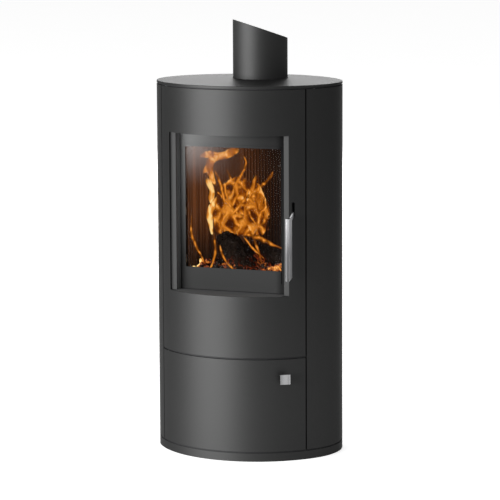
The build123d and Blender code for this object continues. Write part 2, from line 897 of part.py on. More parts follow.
# Fire door skin: rolled sheet with the window cut-out and the slot for the handle's arm.
with BuildPart() as fire_door_skin:
    with BuildSketch(Plane.XY.offset(fire_door_bottom)):
        add(arc_strip(0, skin_thickness, -door_half_angle, door_half_angle))
    extrude(amount=fire_door_top - fire_door_bottom)
    with BuildSketch(upright(frame_front_y)):
        with Locations((0, (window_bottom + window_top) / 2)):
            Rectangle(2 * window_half_width, window_top - window_bottom)
        with Locations((handle_x, (slot_bottom + slot_top) / 2)):
            SlotOverall(slot_top - slot_bottom, slot_width, rotation=90)
    extrude(amount=body_depth, mode=Mode.SUBTRACT)
save(fire_door_skin, "fire_door_skin")
save(door_ribs(fire_door_bottom, fire_door_top), "fire_door_ribs")

# Window surround: folded sheet from the skin's cut-out back to the flat inner frame.
face_rear_y = recess_y + sheet
glass_bottom = retainer_lower_bottom + retainer_lower_lap - glass_overlap
glass_top = retainer_upper_top - retainer_upper_lap + glass_overlap


def shelf_outline():
    """Plan of the shelf below the window and of the soffit above it."""
    with BuildSketch() as outline:
        add(oval(skin_thickness + seat_clearance))
        with Locations((0, face_rear_y + half_depth)):
            Rectangle(body_width, body_depth, mode=Mode.SUBTRACT)
        for side in (-1, 1):
            behind_strip = (side * (strip_inner + sheet + half_width / 2), strip_y + sheet + half_depth)
            beside_strip = (side * (surround_outer + half_width / 2), strip_y)
            with Locations(behind_strip, beside_strip):
                Rectangle(half_width, body_depth, mode=Mode.SUBTRACT)
    return outline.sketch


with BuildPart() as window_surround:
    with BuildSketch(upright(recess_y)):
        add(
            frame_outline(
                strip_inner, window_bottom - sheet, window_top + sheet,
                glass_half_view, glass_bottom + glass_overlap, glass_top - glass_overlap,
            )
        )
    extrude(amount=-sheet)
    for side in (-1, 1):
        with BuildSketch(Plane.XY.offset(window_bottom - sheet)):
            with BuildLine():
                Polyline(
                    (side * surround_outer, strip_y),
                    (side * strip_inner, strip_y),
                    (side * strip_inner, face_rear_y),
                    (side * (strip_inner + sheet), face_rear_y),
                    (side * (strip_inner + sheet), strip_y + sheet),
                    (side * surround_outer, strip_y + sheet),
                    close=True,
                )
            make_face()
        extrude(amount=window_top - window_bottom + 2 * sheet)
    for level in (window_bottom - sheet, window_top):
        with BuildSketch(Plane.XY.offset(level)):
            add(shelf_outline())
        extrude(amount=sheet)
save(window_surround, "window_surround")

# Glass retainers: a deep plate under the glass and a slim rail over it, in front of the inner frame.
with BuildPart() as glass_retainer_lower:
    with BuildSketch(upright(recess_y)):
        with Locations((0, (retainer_lower_bottom + glass_view_bottom) / 2)):
            Rectangle(2 * glass_half_view, glass_view_bottom - retainer_lower_bottom)
    extrude(amount=sheet)
save(glass_retainer_lower, "glass_retainer_lower")

with BuildPart() as glass_retainer_upper:
    with BuildSketch(upright(recess_y)):
        with Locations((0, (glass_view_top + retainer_upper_top) / 2)):
            Rectangle(2 * glass_half_view, retainer_upper_top - glass_view_top)
    extrude(amount=sheet)
save(glass_retainer_upper, "glass_retainer_upper")

# Glass, its gasket and the back frame that holds them.
glass_front_y = face_rear_y + gasket_thickness
back_frame_rear_y = glass_front_y + glass_thickness

with BuildPart() as glass_gasket:
    with BuildSketch(upright(face_rear_y)):
        add(
            frame_outline(
                glass_half_width, glass_bottom, glass_top,
                glass_half_view + 1, glass_bottom + glass_overlap - 1, glass_top - glass_overlap + 1,
            )
        )
    extrude(amount=-gasket_thickness)
save(glass_gasket, "glass_gasket")

with BuildPart() as door_glass:
    with BuildSketch(upright(glass_front_y)):
        with Locations((0, (glass_bottom + glass_top) / 2)):
            Rectangle(2 * glass_half_width, glass_top - glass_bottom)
    extrude(amount=-glass_thickness)
save(door_glass, "door_glass")

rope_channel = rope_radius + seat_clearance
with BuildPart() as door_back_frame:
    with BuildSketch(upright(face_rear_y)):
        add(
            frame_outline(
                back_frame_half_width, back_frame_bottom, back_frame_top,
                glass_half_width + edge_clearance, glass_bottom - edge_clearance, glass_top + edge_clearance,
            )
        )
    extrude(amount=back_frame_rear_y - face_rear_y, dir=(0, 1, 0))
    with BuildSketch(upright(back_frame_rear_y)):
        for step in (-rope_channel - rope_wall, rope_channel):
            low, high = rope_bottom - step, rope_top + step
            add(rounded_frame(rope_half_width + step, low, high, rope_wall, rope_corner + step))
    extrude(amount=-rope_wall_height)
save(door_back_frame, "door_back_frame")

# Seal rope: a closed loop of glass-fibre rope between the door and the front frame.
rope_y = frame_front_y - seat_clearance - rope_radius
with BuildPart() as door_seal_rope:
    with BuildLine() as rope_path:
        FilletPolyline(
            (rope_half_width, rope_y, rope_bottom),
            (rope_half_width, rope_y, rope_top),
            (-rope_half_width, rope_y, rope_top),
            (-rope_half_width, rope_y, rope_bottom),
            radius=rope_corner,
            close=True,
        )
    with BuildSketch(Plane(origin=rope_path.line @ 0, z_dir=rope_path.line % 0)):
        Circle(rope_radius)
    sweep(path=rope_path.line)
save(door_seal_rope, "door_seal_rope")

# Glass clips: small plates from the back frame over the glass, each with its screw.
clip_first = glass_view_bottom + clip_foot_gap
clip_step = (glass_view_top - clip_head_gap - clip_first) / (clip_rows - 1)
clip_heights = [clip_first + clip_step * row for row in range(clip_rows)]
clip_places = [(side * glass_half_width, height) for side in (-1, 1) for height in clip_heights]

with BuildPart() as glass_clips:
    with BuildSketch(upright(back_frame_rear_y)):
        with Locations(*clip_places):
            Rectangle(clip_reach, clip_width)
    extrude(amount=-clip_thickness)
save(glass_clips, "glass_clips")

with BuildPart() as glass_clip_screws:
    with BuildSketch(upright(back_frame_rear_y + clip_thickness)):
        with Locations(*[(x * (1 + clip_screw_offset / glass_half_width), z) for x, z in clip_places]):
            Circle(clip_screw_radius)
    extrude(amount=-screw_head_height)
save(glass_clip_screws, "glass_clip_screws")

# ---------------------------------------------------------------- latch
cheek_inner = lever_thickness / 2 + bracket_gap
cheek_front_y = [
    front_center - sqrt((front_radius - skin_thickness - seat_clearance) ** 2 - x**2)
    for x in (handle_x - cheek_inner, handle_x + cheek_inner + cheek_thickness)
]

# Bracket: two cheeks behind the skin, joined by a web over the lever.
with BuildPart() as latch_bracket:
    for side, front_y in zip((-1, 1), cheek_front_y):
        low_x = handle_x + cheek_inner if side > 0 else handle_x - cheek_inner - cheek_thickness
        with BuildSketch(sideways(low_x)):
            with BuildLine():
                Polyline(
                    (front_y, latch_pivot_z - latch_boss_radius),
                    (latch_pivot_y + cheek_depth, latch_pivot_z - latch_boss_radius),
                    (latch_pivot_y + cheek_depth, slot_top + cheek_rise),
                    (front_y, slot_top + cheek_rise),
                    close=True,
                )
            make_face()
            with Locations((latch_pivot_y, latch_pivot_z)):
                Circle(latch_pin_radius, mode=Mode.SUBTRACT)
        extrude(amount=cheek_thickness)
    with BuildSketch(Plane.XY.offset(slot_top + cheek_rise - cheek_thickness)):
        with Locations((handle_x, (cheek_front_y[1] + latch_pivot_y + cheek_depth) / 2)):
            Rectangle(2 * cheek_inner, latch_pivot_y + cheek_depth - cheek_front_y[1])
    extrude(amount=cheek_thickness)
save(latch_bracket, "latch_bracket")

side_plane = sideways(handle_x - lever_thickness / 2)

with BuildPart() as latch_pin:
    with BuildSketch(sideways(handle_x - cheek_inner - cheek_thickness)):
        with Locations((latch_pivot_y, latch_pivot_z)):
            Circle(latch_pin_radius)
    extrude(amount=2 * (cheek_inner + cheek_thickness))
save(latch_pin, "latch_pin")

handle_rear_y = handle_front_y + handle_depth
hook_tip_y = latch_pivot_y + hook_reach
keeper_y = frame_rear_y + 1.5 * keeper_radius
hook_top = latch_pivot_z + hook_height / 2
keeper_z = hook_top + hook_nose + hook_clearance + keeper_radius

# Lever: one flat piece from the handle bar, through the skin's slot, over the pivot, to the hook.
with BuildPart() as latch_lever:
    with BuildSketch(side_plane):
        with BuildLine():
            Polyline(
                (handle_rear_y - lever_bite, handle_top - lever_joint_height),
                (handle_rear_y - lever_bite, handle_top - edge_clearance),
                (latch_pivot_y - latch_pin_radius, latch_pivot_z + lever_arm_height / 2),
                (latch_pivot_y - latch_pin_radius, latch_pivot_z - lever_arm_height / 2),
                close=True,
            )
        make_face()
        with Locations((latch_pivot_y, latch_pivot_z)):
            Circle(latch_boss_radius)
        with BuildLine():
            Polyline(
                (latch_pivot_y, latch_pivot_z - hook_height / 2),
                (latch_pivot_y, hook_top),
                (hook_tip_y - hook_lead, hook_top),
                (hook_tip_y - hook_lead, hook_top + hook_nose),
                (hook_tip_y - hook_point, hook_top + hook_nose),
                (hook_tip_y, hook_top),
                (hook_tip_y, latch_pivot_z - hook_height / 2),
                close=True,
            )
        make_face()
        with Locations((latch_pivot_y, latch_pivot_z)):
            Circle(latch_pin_radius + running_clearance, mode=Mode.SUBTRACT)
    extrude(amount=lever_thickness)
save(latch_lever, "latch_lever")

# Handle bar: upright bar with rounded edges, its lower end cut on a bevel, slotted onto the lever.
with BuildPart() as handle_bar:
    with BuildSketch(sideways(handle_x - handle_width / 2)):
        with BuildLine():
            Polyline(
                (handle_front_y, handle_bottom),
                (handle_rear_y, handle_bottom + handle_bevel),
                (handle_rear_y, handle_top),
                (handle_front_y, handle_top),
                close=True,
            )
        make_face()
    extrude(amount=handle_width)
    fillet(handle_bar.edges().filter_by(Axis.Z), handle_edge)
    with BuildSketch(side_plane):
        with Locations((handle_rear_y, handle_top - lever_joint_height / 2)):
            Rectangle(2 * lever_bite, lever_joint_height + 2 * joint_gap)
    extrude(amount=lever_thickness, mode=Mode.SUBTRACT)
save(handle_bar, "handle_bar")

# Keeper: a round pin across the frame's slot, above the hook, between two ears.
with BuildPart() as latch_keeper:
    for ear_x in (handle_x - latch_slot_width / 2 - keeper_ear_thickness, handle_x + latch_slot_width / 2):
        with BuildSketch(sideways(ear_x)):
            with Locations((frame_rear_y + keeper_ear_depth / 2, keeper_z)):
                Rectangle(keeper_ear_depth, keeper_ear_height)
        extrude(amount=keeper_ear_thickness)
    with BuildSketch(sideways(handle_x - latch_slot_width / 2)):
        with Locations((keeper_y, keeper_z)):
            Circle(keeper_radius)
    extrude(amount=latch_slot_width)
save(latch_keeper, "latch_keeper")

# ---------------------------------------------------------------- lower door
with BuildPart() as lower_door_skin:
    with BuildSketch(Plane.XY.offset(lower_door_bottom)):
        add(arc_strip(0, skin_thickness, -door_half_angle, door_half_angle))
    extrude(amount=lower_door_top - lower_door_bottom)
save(lower_door_skin, "lower_door_skin")
save(door_ribs(lower_door_bottom, lower_door_top), "lower_door_ribs")

knob_angle = degrees(asin(knob_arc_x / front_radius))
knob_foot = Vector(*on_front(knob_angle), knob_height)
knob_outward = Vector(sin(radians(knob_angle)), -cos(radians(knob_angle)), 0)
knob_across = Vector(cos(radians(knob_angle)), sin(radians(knob_angle)), 0)
knob_plane = Plane(origin=knob_foot, x_dir=knob_across, z_dir=knob_outward)

# Knob: a square plate on a round stem, square to the door's curve.
with BuildPart() as knob_stem:
    with BuildSketch(knob_plane.offset(seat_clearance)):
        Circle(knob_stem_radius)
    extrude(amount=knob_stand - seat_clearance)
save(knob_stem, "knob_stem")

with BuildPart() as square_knob:
    with BuildSketch(knob_plane.offset(knob_stand)):
        Rectangle(knob_side, knob_side)
    extrude(amount=knob_thickness)
    chamfer(square_knob.edges(), knob_edge)
save(square_knob, "square_knob")

# Magnetic catch on the frame, and its strike plate on the inside of the door's right upright.
with BuildPart() as magnet_catch:
    with BuildSketch(upright(frame_front_y)):
        with Locations((catch_x, catch_height)):
            Rectangle(catch_width, catch_length)
    extrude(amount=catch_depth)
save(magnet_catch, "magnet_catch")

strike_y = frame_front_y - catch_depth - strike_gap - strike_thickness / 2
with BuildPart() as strike_plate:
    with BuildSketch(Plane.XY.offset(catch_height - strike_length / 2)):
        with Locations((catch_x, strike_y)):
            Rectangle(strike_reach, strike_thickness)
        with Locations((0, front_center)):
            Circle(rib_inner_radius - seat_clearance, mode=Mode.INTERSECT)
    extrude(amount=strike_length)
save(strike_plate, "strike_plate")

# ---------------------------------------------------------------- ash drawer

with BuildPart() as ash_runners:
    for side in (-1, 1):
        with BuildSketch(Plane.XY.offset(divider_top)):
            with Locations((side * (drawer_half_width - runner_width / 2), frame_rear_y + drawer_depth / 2)):
                Rectangle(runner_width, drawer_depth)
        extrude(amount=runner_height)
save(ash_runners, "ash_runners")

with BuildPart() as ash_drawer:
    with BuildSketch(Plane.XY.offset(drawer_bottom)):
        with Locations((0, frame_rear_y + drawer_depth / 2)):
            Rectangle(2 * drawer_half_width, drawer_depth)
    extrude(amount=drawer_height)
    with BuildSketch(Plane.XY.offset(drawer_bottom + drawer_wall)):
        with Locations((0, frame_rear_y + drawer_depth / 2)):
            Rectangle(2 * (drawer_half_width - drawer_wall), drawer_depth - 2 * drawer_wall)
    extrude(amount=drawer_height, mode=Mode.SUBTRACT)
save(ash_drawer, "ash_drawer")

drawer_panel_y = frame_front_y - seat_clearance
with BuildPart() as ash_drawer_front:
    with BuildSketch(upright(drawer_panel_y)):
        with Locations((0, (ash_opening_bottom + ash_opening_top) / 2)):
            Rectangle(
                2 * (ash_opening_half_width + drawer_front_margin),
                ash_opening_top - ash_opening_bottom + drawer_front_margin,
            )
    extrude(amount=drawer_front_thickness)
    with BuildSketch(upright(drawer_panel_y)):
        with Locations((0, drawer_bottom + drawer_height / 2)):
            Rectangle(2 * (drawer_half_width - drawer_lip), drawer_height - 2 * drawer_lip)
    extrude(amount=-(frame_rear_y - drawer_panel_y))
save(ash_drawer_front, "ash_drawer_front")

pull_height = (ash_opening_bottom + ash_opening_top) / 2
pull_base_y = drawer_panel_y - drawer_front_thickness
with BuildPart() as ash_drawer_pull:
    with BuildLine() as pull_path:
        FilletPolyline(
            (-drawer_pull_half_width, pull_base_y, pull_height),
            (-drawer_pull_half_width, pull_base_y - drawer_pull_reach, pull_height),
            (drawer_pull_half_width, pull_base_y - drawer_pull_reach, pull_height),
            (drawer_pull_half_width, pull_base_y, pull_height),
            radius=drawer_pull_bend,
        )
    with BuildSketch(Plane(origin=(-drawer_pull_half_width, pull_base_y, pull_height), z_dir=(0, -1, 0))):
        Circle(drawer_pull_radius)
    sweep(path=pull_path.line)
save(ash_drawer_pull, "ash_drawer_pull")

# ---------------------------------------------------------------- combustion air
# Plenum: a shallow tray under the divider, with a slot in its front for the shutter's stem.
with BuildPart() as air_plenum:
    with BuildSketch(Plane.XY.offset(plenum_bottom)):
        with Locations((0, (plenum_front_y + duct_rear_y) / 2)):
            Rectangle(2 * plenum_half_width, duct_rear_y - plenum_front_y)
    extrude(amount=plenum_depth)
    with BuildSketch(Plane.XY.offset(plenum_bottom + plenum_wall)):
        with Locations((0, (plenum_front_y + duct_rear_y) / 2)):
            Rectangle(2 * (plenum_half_width - plenum_wall), duct_rear_y - plenum_front_y - 2 * plenum_wall)
    extrude(amount=plenum_depth, mode=Mode.SUBTRACT)
    with BuildSketch(upright(plenum_front_y)):
        with Locations((-shutter_travel / 2, stem_height)):
            Rectangle(shutter_travel + 4 * stem_radius, 2.6 * stem_radius)
    extrude(amount=-2 * plenum_wall, mode=Mode.SUBTRACT)
    with BuildSketch(Plane.XY.offset(plenum_bottom)):
        with Locations((0, (duct_front_y + duct_rear_y) / 2)):
            Rectangle(2 * (duct_half_width - plenum_wall), duct_rear_y - duct_front_y - 2 * plenum_wall)
    extrude(amount=plenum_wall, mode=Mode.SUBTRACT)
save(air_plenum, "air_plenum")

# Duct: from the rear spigot up to the plenum.
with BuildPart() as air_inlet_duct:
    with BuildSketch(Plane.XY.offset(duct_bottom)):
        with Locations((0, (duct_front_y + duct_rear_y) / 2)):
            Rectangle(2 * duct_half_width, duct_rear_y - duct_front_y)
    extrude(amount=plenum_bottom - duct_bottom)
    with BuildSketch(Plane.XY.offset(duct_bottom + plenum_wall)):
        with Locations((0, (duct_front_y + duct_rear_y) / 2)):
            Rectangle(2 * (duct_half_width - plenum_wall), duct_rear_y - duct_front_y - 2 * plenum_wall)
    extrude(amount=plenum_bottom - duct_bottom, mode=Mode.SUBTRACT)
    with BuildSketch(upright(duct_rear_y)):
        with Locations((0, air_spigot_height)):
            Circle(air_spigot_radius - air_spigot_wall)
    extrude(amount=2 * plenum_wall, mode=Mode.SUBTRACT)
save(air_inlet_duct, "air_inlet_duct")

with BuildPart() as air_inlet_spigot:
    with BuildSketch(upright(duct_rear_y)):
        with Locations((0, air_spigot_height)):
            Circle(air_spigot_radius)
            Circle(air_spigot_radius - air_spigot_wall, mode=Mode.SUBTRACT)
    extrude(amount=-air_spigot_reach)
    with BuildSketch(upright(duct_rear_y)):
        with Locations((0, air_spigot_height)):
            Circle(air_spigot_radius + air_spigot_flange)
            Circle(air_spigot_radius - air_spigot_wall, mode=Mode.SUBTRACT)
    extrude(amount=-2)
save(air_inlet_spigot, "air_inlet_spigot")

# Shutter: a slotted plate under the divider's air slots, on a stem that ends in a knob.
shutter_length = air_slot_length + 2 * shutter_margin
shutter_front_y = air_slot_y - shutter_length / 2
shutter_bottom = divider_bottom - seat_clearance - shutter_thickness
with BuildPart() as air_shutter:
    with BuildSketch(Plane.XY.offset(shutter_bottom)):
        with Locations((0, air_slot_y)):
            Rectangle(2 * air_slot_pitch + air_slot_width + 2 * shutter_margin, shutter_length)
            with GridLocations(air_slot_pitch, 0, 3, 1):
                Rectangle(air_slot_width, air_slot_length, mode=Mode.SUBTRACT)
    extrude(amount=shutter_thickness)
    stem_front_y = frame_front_y - seat_clearance
    with BuildSketch(upright(shutter_front_y)):
        with Locations((0, stem_height)):
            Circle(stem_radius)
    extrude(amount=shutter_front_y - stem_front_y)
    with BuildSketch(upright(shutter_front_y)):
        with Locations((0, (stem_height - stem_radius + shutter_bottom) / 2)):
            Rectangle(4 * stem_radius, shutter_bottom - stem_height + stem_radius)
    extrude(amount=-shutter_margin / 2)
save(air_shutter, "air_shutter")

with BuildPart() as air_knob:
    with BuildSketch(upright(stem_front_y)):
        with Locations((0, stem_height)):
            Circle(air_knob_radius)
    extrude(amount=air_knob_length)
    chamfer(air_knob.edges().filter_by(GeomType.CIRCLE).group_by(Axis.Y)[0], 1)
save(air_knob, "air_knob")

# ---------------------------------------------------------------- fuel
lining_half_width = chamber_half_width - lining_inner

with BuildPart() as ember_bed:
    with BuildSketch(Plane.XY.offset(fire_bed)):
        with Locations((0, grate_center_y)):
            bed_half_width = lining_half_width - ember_side_gap
            RectangleRounded(2 * bed_half_width, ember_rear_y - ember_front_y, ember_corner)
    extrude(amount=ember_height, taper=ember_slope)
save(ember_bed, "ember_bed")


def split_log(start, end, radius):
    """A split log between two points of its flat side: a half round with a slight taper."""
    axis = Vector(*end) - Vector(*start)
    upwards = axis.cross(Vector(0, 0, 1)).cross(axis)
    across = axis.cross(upwards) * -1
    with BuildPart() as log:
        for along, size in ((0, radius), (axis.length, radius * log_taper)):
            section = Plane(origin=Vector(*start) + axis.normalized() * along, x_dir=across, z_dir=axis)
            with BuildSketch(section):
                with BuildLine():
                    bark = CenterArc((0, 0), size, 0, 180)
                    Line(bark @ 1, bark @ 0)
                make_face()
        loft()
    return log.part


# Logs: two lie on the embers, one lies across them and one leans over it.
log_floor = fire_bed + ember_height
cross_rest = log_floor + base_log_radius + seat_clearance
lean_run = lean_foot_x - cross_log_x
lean_rise = cross_rest - log_floor
lean_reach = hypot(lean_run, lean_rise)
lean_angle = atan2(lean_rise, lean_run) + asin((cross_log_radius + seat_clearance) / lean_reach)
lean_head = (lean_foot_x - lean_log_length * cos(lean_angle), log_floor + lean_log_length * sin(lean_angle))
rear_log_y = chamber_corner_y - rear_log_gap
front_log_y = lining_front_y + front_log_gap
lean_log_y = front_log_y + lean_log_gap
rear_log_x = (rear_log_end_gaps[0] - lining_half_width, lining_half_width - rear_log_end_gaps[1])
front_log_x = front_log_end_gap - lining_half_width
cross_log_y = (front_log_y - cross_log_laps[0], rear_log_y + cross_log_laps[1])
rear_log = [(x, rear_log_y, log_floor) for x in rear_log_x]
front_log = [(x, front_log_y, log_floor) for x in (front_log_x, front_log_x + front_log_length)]
cross_log = [(cross_log_x, y, cross_rest) for y in cross_log_y]
lean_log = [(lean_foot_x, lean_log_y, log_floor), (lean_head[0], lean_log_y, lean_head[1])]
with BuildPart() as logs:
    add(split_log(*rear_log, base_log_radius))
    add(split_log(*front_log, base_log_radius))
    add(split_log(*cross_log, cross_log_radius))
    add(split_log(*lean_log, lean_log_radius))
save(logs, "logs")

# ---------------------------------------------------------------- screws
flange_bolt_circle = (flue_radius + spigot_radius + spigot_flange) / 2
rear_screw_first = panel_bottom + rear_screw_foot_gap
rear_screw_last = fire_door_top - rear_screw_head_gap
with BuildPart() as case_screws:
    with BuildSketch(Plane.XY.offset(pipe_bottom)):
        with Locations((0, flue_y)):
            with PolarLocations(flange_bolt_circle, flange_screws, start_angle=45):
                Circle(screw_head_radius)
    extrude(amount=screw_head_height)
    for height in (rear_screw_first, rear_screw_first + rear_screw_step, rear_screw_last):
        for angle in (-rear_screw_angle, rear_screw_angle):
            radial = Vector(sin(radians(angle)), cos(radians(angle)), 0)
            seat = Vector(0, -front_center, height) + radial * front_radius
            with BuildSketch(Plane(origin=seat, z_dir=radial)):
                Circle(screw_head_radius)
            extrude(amount=screw_head_height)
save(case_screws, "case_screws")
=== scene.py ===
import bmesh
import bpy
import json
import math
import random
from mathutils import Matrix, Vector

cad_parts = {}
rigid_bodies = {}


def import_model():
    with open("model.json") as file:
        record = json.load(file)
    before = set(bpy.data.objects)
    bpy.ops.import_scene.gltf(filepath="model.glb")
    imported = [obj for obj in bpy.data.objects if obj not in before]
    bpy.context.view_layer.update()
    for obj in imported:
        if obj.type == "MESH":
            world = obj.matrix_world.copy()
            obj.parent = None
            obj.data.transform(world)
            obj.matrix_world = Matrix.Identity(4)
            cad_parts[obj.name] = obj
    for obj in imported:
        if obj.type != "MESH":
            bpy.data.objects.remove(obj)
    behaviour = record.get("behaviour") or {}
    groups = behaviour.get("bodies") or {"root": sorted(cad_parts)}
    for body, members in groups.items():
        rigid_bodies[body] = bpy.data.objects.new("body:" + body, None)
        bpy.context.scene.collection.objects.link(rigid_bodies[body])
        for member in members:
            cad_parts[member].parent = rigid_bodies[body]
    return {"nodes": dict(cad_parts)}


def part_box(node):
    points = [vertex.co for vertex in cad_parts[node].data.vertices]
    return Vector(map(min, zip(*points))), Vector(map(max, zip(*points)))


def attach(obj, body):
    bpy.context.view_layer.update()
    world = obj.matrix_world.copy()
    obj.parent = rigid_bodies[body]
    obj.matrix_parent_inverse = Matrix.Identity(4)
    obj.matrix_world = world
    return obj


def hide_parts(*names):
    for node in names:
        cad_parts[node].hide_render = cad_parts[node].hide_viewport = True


for leftover in list(bpy.data.objects):
    bpy.data.objects.remove(leftover)
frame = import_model()
bpy.context.scene.view_settings.view_transform = "Standard"
nodes = frame["nodes"]
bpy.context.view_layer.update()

# %% [markdown]
# ## Camera
# The stove is seen from far away through a long lens, a little from its handle side and from
# above. A camera could be aimed with a constraint, but its frame is easier to repeat from plain
# numbers: a bearing, a distance, a height and a downward tilt. The three rows of the camera's own
# axes are worked out from those and become its matrix.
# %% A camera from bearing, distance, height and tilt
view_bearing = math.radians(21.091)
view_distance = 6.883
view_height = 1.5697
view_tilt = math.radians(8.488)
view_roll = math.radians(-0.2706)
view_lens = 182.97

camera_data = bpy.data.cameras.new("camera")
camera_data.lens = view_lens
camera = bpy.data.objects.new("camera", camera_data)
bpy.context.scene.collection.objects.link(camera)
bpy.context.scene.camera = camera

forward = Vector((
    -math.sin(view_bearing) * math.cos(view_tilt),
    math.cos(view_bearing) * math.cos(view_tilt),
    -math.sin(view_tilt),
))
level = Vector((math.cos(view_bearing), math.sin(view_bearing), 0))
upward = level.cross(forward)
right = level * math.cos(view_roll) + upward * math.sin(view_roll)
top = upward * math.cos(view_roll) - level * math.sin(view_roll)
camera.matrix_world = Matrix((
    (right.x, top.x, -forward.x, view_distance * math.sin(view_bearing)),
    (right.y, top.y, -forward.y, -view_distance * math.cos(view_bearing)),
    (right.z, top.z, -forward.z, view_height),
    (0, 0, 0, 1),
))
print("camera at", [round(v, 3) for v in camera.location], "lens", camera_data.lens)

# %% [markdown]
# ## Sums of sockets
# A shader is a small calculation. Wired by hand it is a web of Math nodes that nobody can read
# back. Here one class wraps an output, so that plain `+`, `-`, `*` and `/` add those nodes.
# %% A wire
class Wire:
    """An output of a node; arithmetic on it adds Math nodes to its finish."""

    def __init__(self, finish, socket):
        self.finish = finish
        self.socket = socket

    def math(self, operation, *values, clamp=False):
        settings = {"operation": operation, "use_clamp": clamp}
        return self.finish.node("ShaderNodeMath", settings, dict(enumerate(values)))

    def __add__(self, other):
        return self.math("ADD", self, other)

    def __sub__(self, other):
        return self.math("SUBTRACT", self, other)

    def __rsub__(self, other):
        return self.math("SUBTRACT", other, self)

    def __mul__(self, other):
        return self.math("MULTIPLY", self, other)

    def __truediv__(self, other):
        return self.math("DIVIDE", self, other)

    def __abs__(self):
        return self.math("ABSOLUTE", self)

    __radd__ = __add__
    __rmul__ = __mul__

    def most(self, other):
        return self.math("MAXIMUM", self, other)

    def clamped(self):
        return self.math("ADD", self, 0.0, clamp=True)

    def between(self, low, high, start=0.0, end=1.0):
        """A smooth step: start below low, end above high."""
        settings = {"interpolation_type": "SMOOTHSTEP"}
        sockets = {"Value": self, "From Min": low, "From Max": high, "To Min": start, "To Max": end}
        return self.finish.node("ShaderNodeMapRange", settings, sockets)


print("a wire knows", ", ".join(name for name in vars(Wire) if not name.startswith("_")))

# %% [markdown]
# ## Finishes
# A second class holds a material. It adds any node by its type, settings and inputs, and the
# patterns that come back in every finish, such as noise, cells and ramps, have short names.
# %% A finish
class Finish:
    """A material: its shader's constants are set first, then what varies is joined to it."""

    def __init__(self, name, **constants):
        self.material = bpy.data.materials.new(name)
        self.material.use_nodes = True
        self.nodes = self.material.node_tree.nodes
        self.links = self.material.node_tree.links
        self.shader = self.nodes["Principled BSDF"]
        for socket, value in constants.items():
            self.shader.inputs[socket.replace("_", " ")].default_value = value

    def node(self, kind, settings=None, sockets=None, output=0):
        made = self.nodes.new(kind)
        for name, value in (settings or {}).items():
            if name == "stops":
                self.set_stops(made.color_ramp, value)
            else:
                setattr(made, name, value)
        for name, value in (sockets or {}).items():
            self.join(made.inputs[name], value)
        return Wire(self, made.outputs[output])

    def set_stops(self, ramp, stops):
        while len(ramp.elements) < len(stops):
            ramp.elements.new(0.5)
        for element, (position, color) in zip(ramp.elements, stops):
            element.position = position
            element.color = (*color, 1)

    def join(self, socket, value):
        if isinstance(value, Wire):
            self.links.new(value.socket, socket)
        elif socket.type == "RGBA" and len(value) == 3:
            socket.default_value = (*value, 1)
        else:
            socket.default_value = value

    def place(self):
        return self.node("ShaderNodeTexCoord", output="Object")

    def stretched(self, place, scale):
        return self.node("ShaderNodeMapping", None, {"Vector": place, "Scale": scale})

    def axis(self, place, letter):
        return self.node("ShaderNodeSeparateXYZ", None, {"Vector": place}, output=letter)

    def noise(self, place, scale, detail=2.0, roughness=0.5):
        sockets = {"Vector": place, "Scale": scale, "Detail": detail, "Roughness": roughness}
        return self.node("ShaderNodeTexNoise", None, sockets)

    def cells(self, place, scale, feature="F1", output="Distance"):
        sockets = {"Vector": place, "Scale": scale}
        return self.node("ShaderNodeTexVoronoi", {"feature": feature}, sockets, output=output)

    def mixed(self, share, first, second):
        return self.node("ShaderNodeMix", {"data_type": "RGBA"}, {0: share, 6: first, 7: second}, output=2)

    def scaled(self, color, share):
        sockets = {0: color, "Scale": share}
        return self.node("ShaderNodeVectorMath", {"operation": "SCALE"}, sockets, output="Vector")

    def ramp(self, share, *stops):
        return self.node("ShaderNodeValToRGB", {"stops": stops}, {"Fac": share}, output="Color")

    def bump(self, height, depth):
        """depth in metres: how far the highest part of the relief stands out."""
        sockets = {"Height": height, "Distance": depth, "Strength": 1.0}
        return self.node("ShaderNodeBump", None, sockets, output="Normal")

    def set(self, **values):
        for socket, value in values.items():
            self.join(self.shader.inputs[socket.replace("_", " ")], value)
        return self.material


print("a finish knows", ", ".join(name for name in vars(Finish) if not name.startswith("_")))

# %% [markdown]
# ## Stove paint
# The casing is steel sheet with a baked, matt, dark grey paint. Close up it is very slightly
# grainy, and over a whole panel its tone drifts a little. A flat grey would look like plastic.
# Noises give that: a slow one shifts the tone and the gloss, and two fine ones feed a shallow bump.
# %% Paint for the casing, the pipe and the hidden sheets
casing_grey = (0.0196, 0.0197, 0.0196)
pipe_grey = (0.0255, 0.0256, 0.0255)
inside_grey = (0.022, 0.022, 0.0225)
# Painted light: from the head down to the foot, the casing's tone grows by the gain below.
casing_head = 0.9
casing_foot = 0.1
foot_painted_light_gain = 1.36


def stove_paint(name, tone, gloss, metal=0.8, edge=0.52, drift=0.12, grain_depth=0.00006, painted_light=None):
    """gloss: its roughness; metal and edge: how light it looks face on and at a grazing angle.

    drift: how much the tone wanders; the last argument, where given, is a function of finish and place that
    paints light and shade into the tone.
    """
    paint = Finish(name, Metallic=metal, Specular_IOR_Level=0.0, Specular_Tint=(edge, edge, edge, 1))
    place = paint.place()
    cloud = paint.noise(place, 3.2, detail=4, roughness=0.6)
    grain = paint.noise(place, 1400, detail=2, roughness=0.7)
    speck = paint.noise(place, 420, detail=3, roughness=0.6)
    shade = cloud * drift * 2 + speck * 0.2 + (0.4 - drift)
    color = paint.mixed(shade.clamped(), tuple(c * 0.8 for c in tone), tuple(c * 1.2 for c in tone))
    # Painted light and shade, scaled into the tone by place.
    if painted_light:
        color = paint.scaled(color, painted_light(paint, place))
    return paint.set(
        Base_Color=color,
        Roughness=cloud * 0.08 + speck * 0.06 + (gloss - 0.07),
        Normal=paint.bump(grain + speck * 0.6, grain_depth),
    )


def casing_painted_light(paint, place):
    """Painted light: the casing's lower part gets more tone, a painted highlight where the lamp's reflection
    is weaker.
    """
    return paint.axis(place, "Z").between(casing_head, casing_foot, 1.0, foot_painted_light_gain)


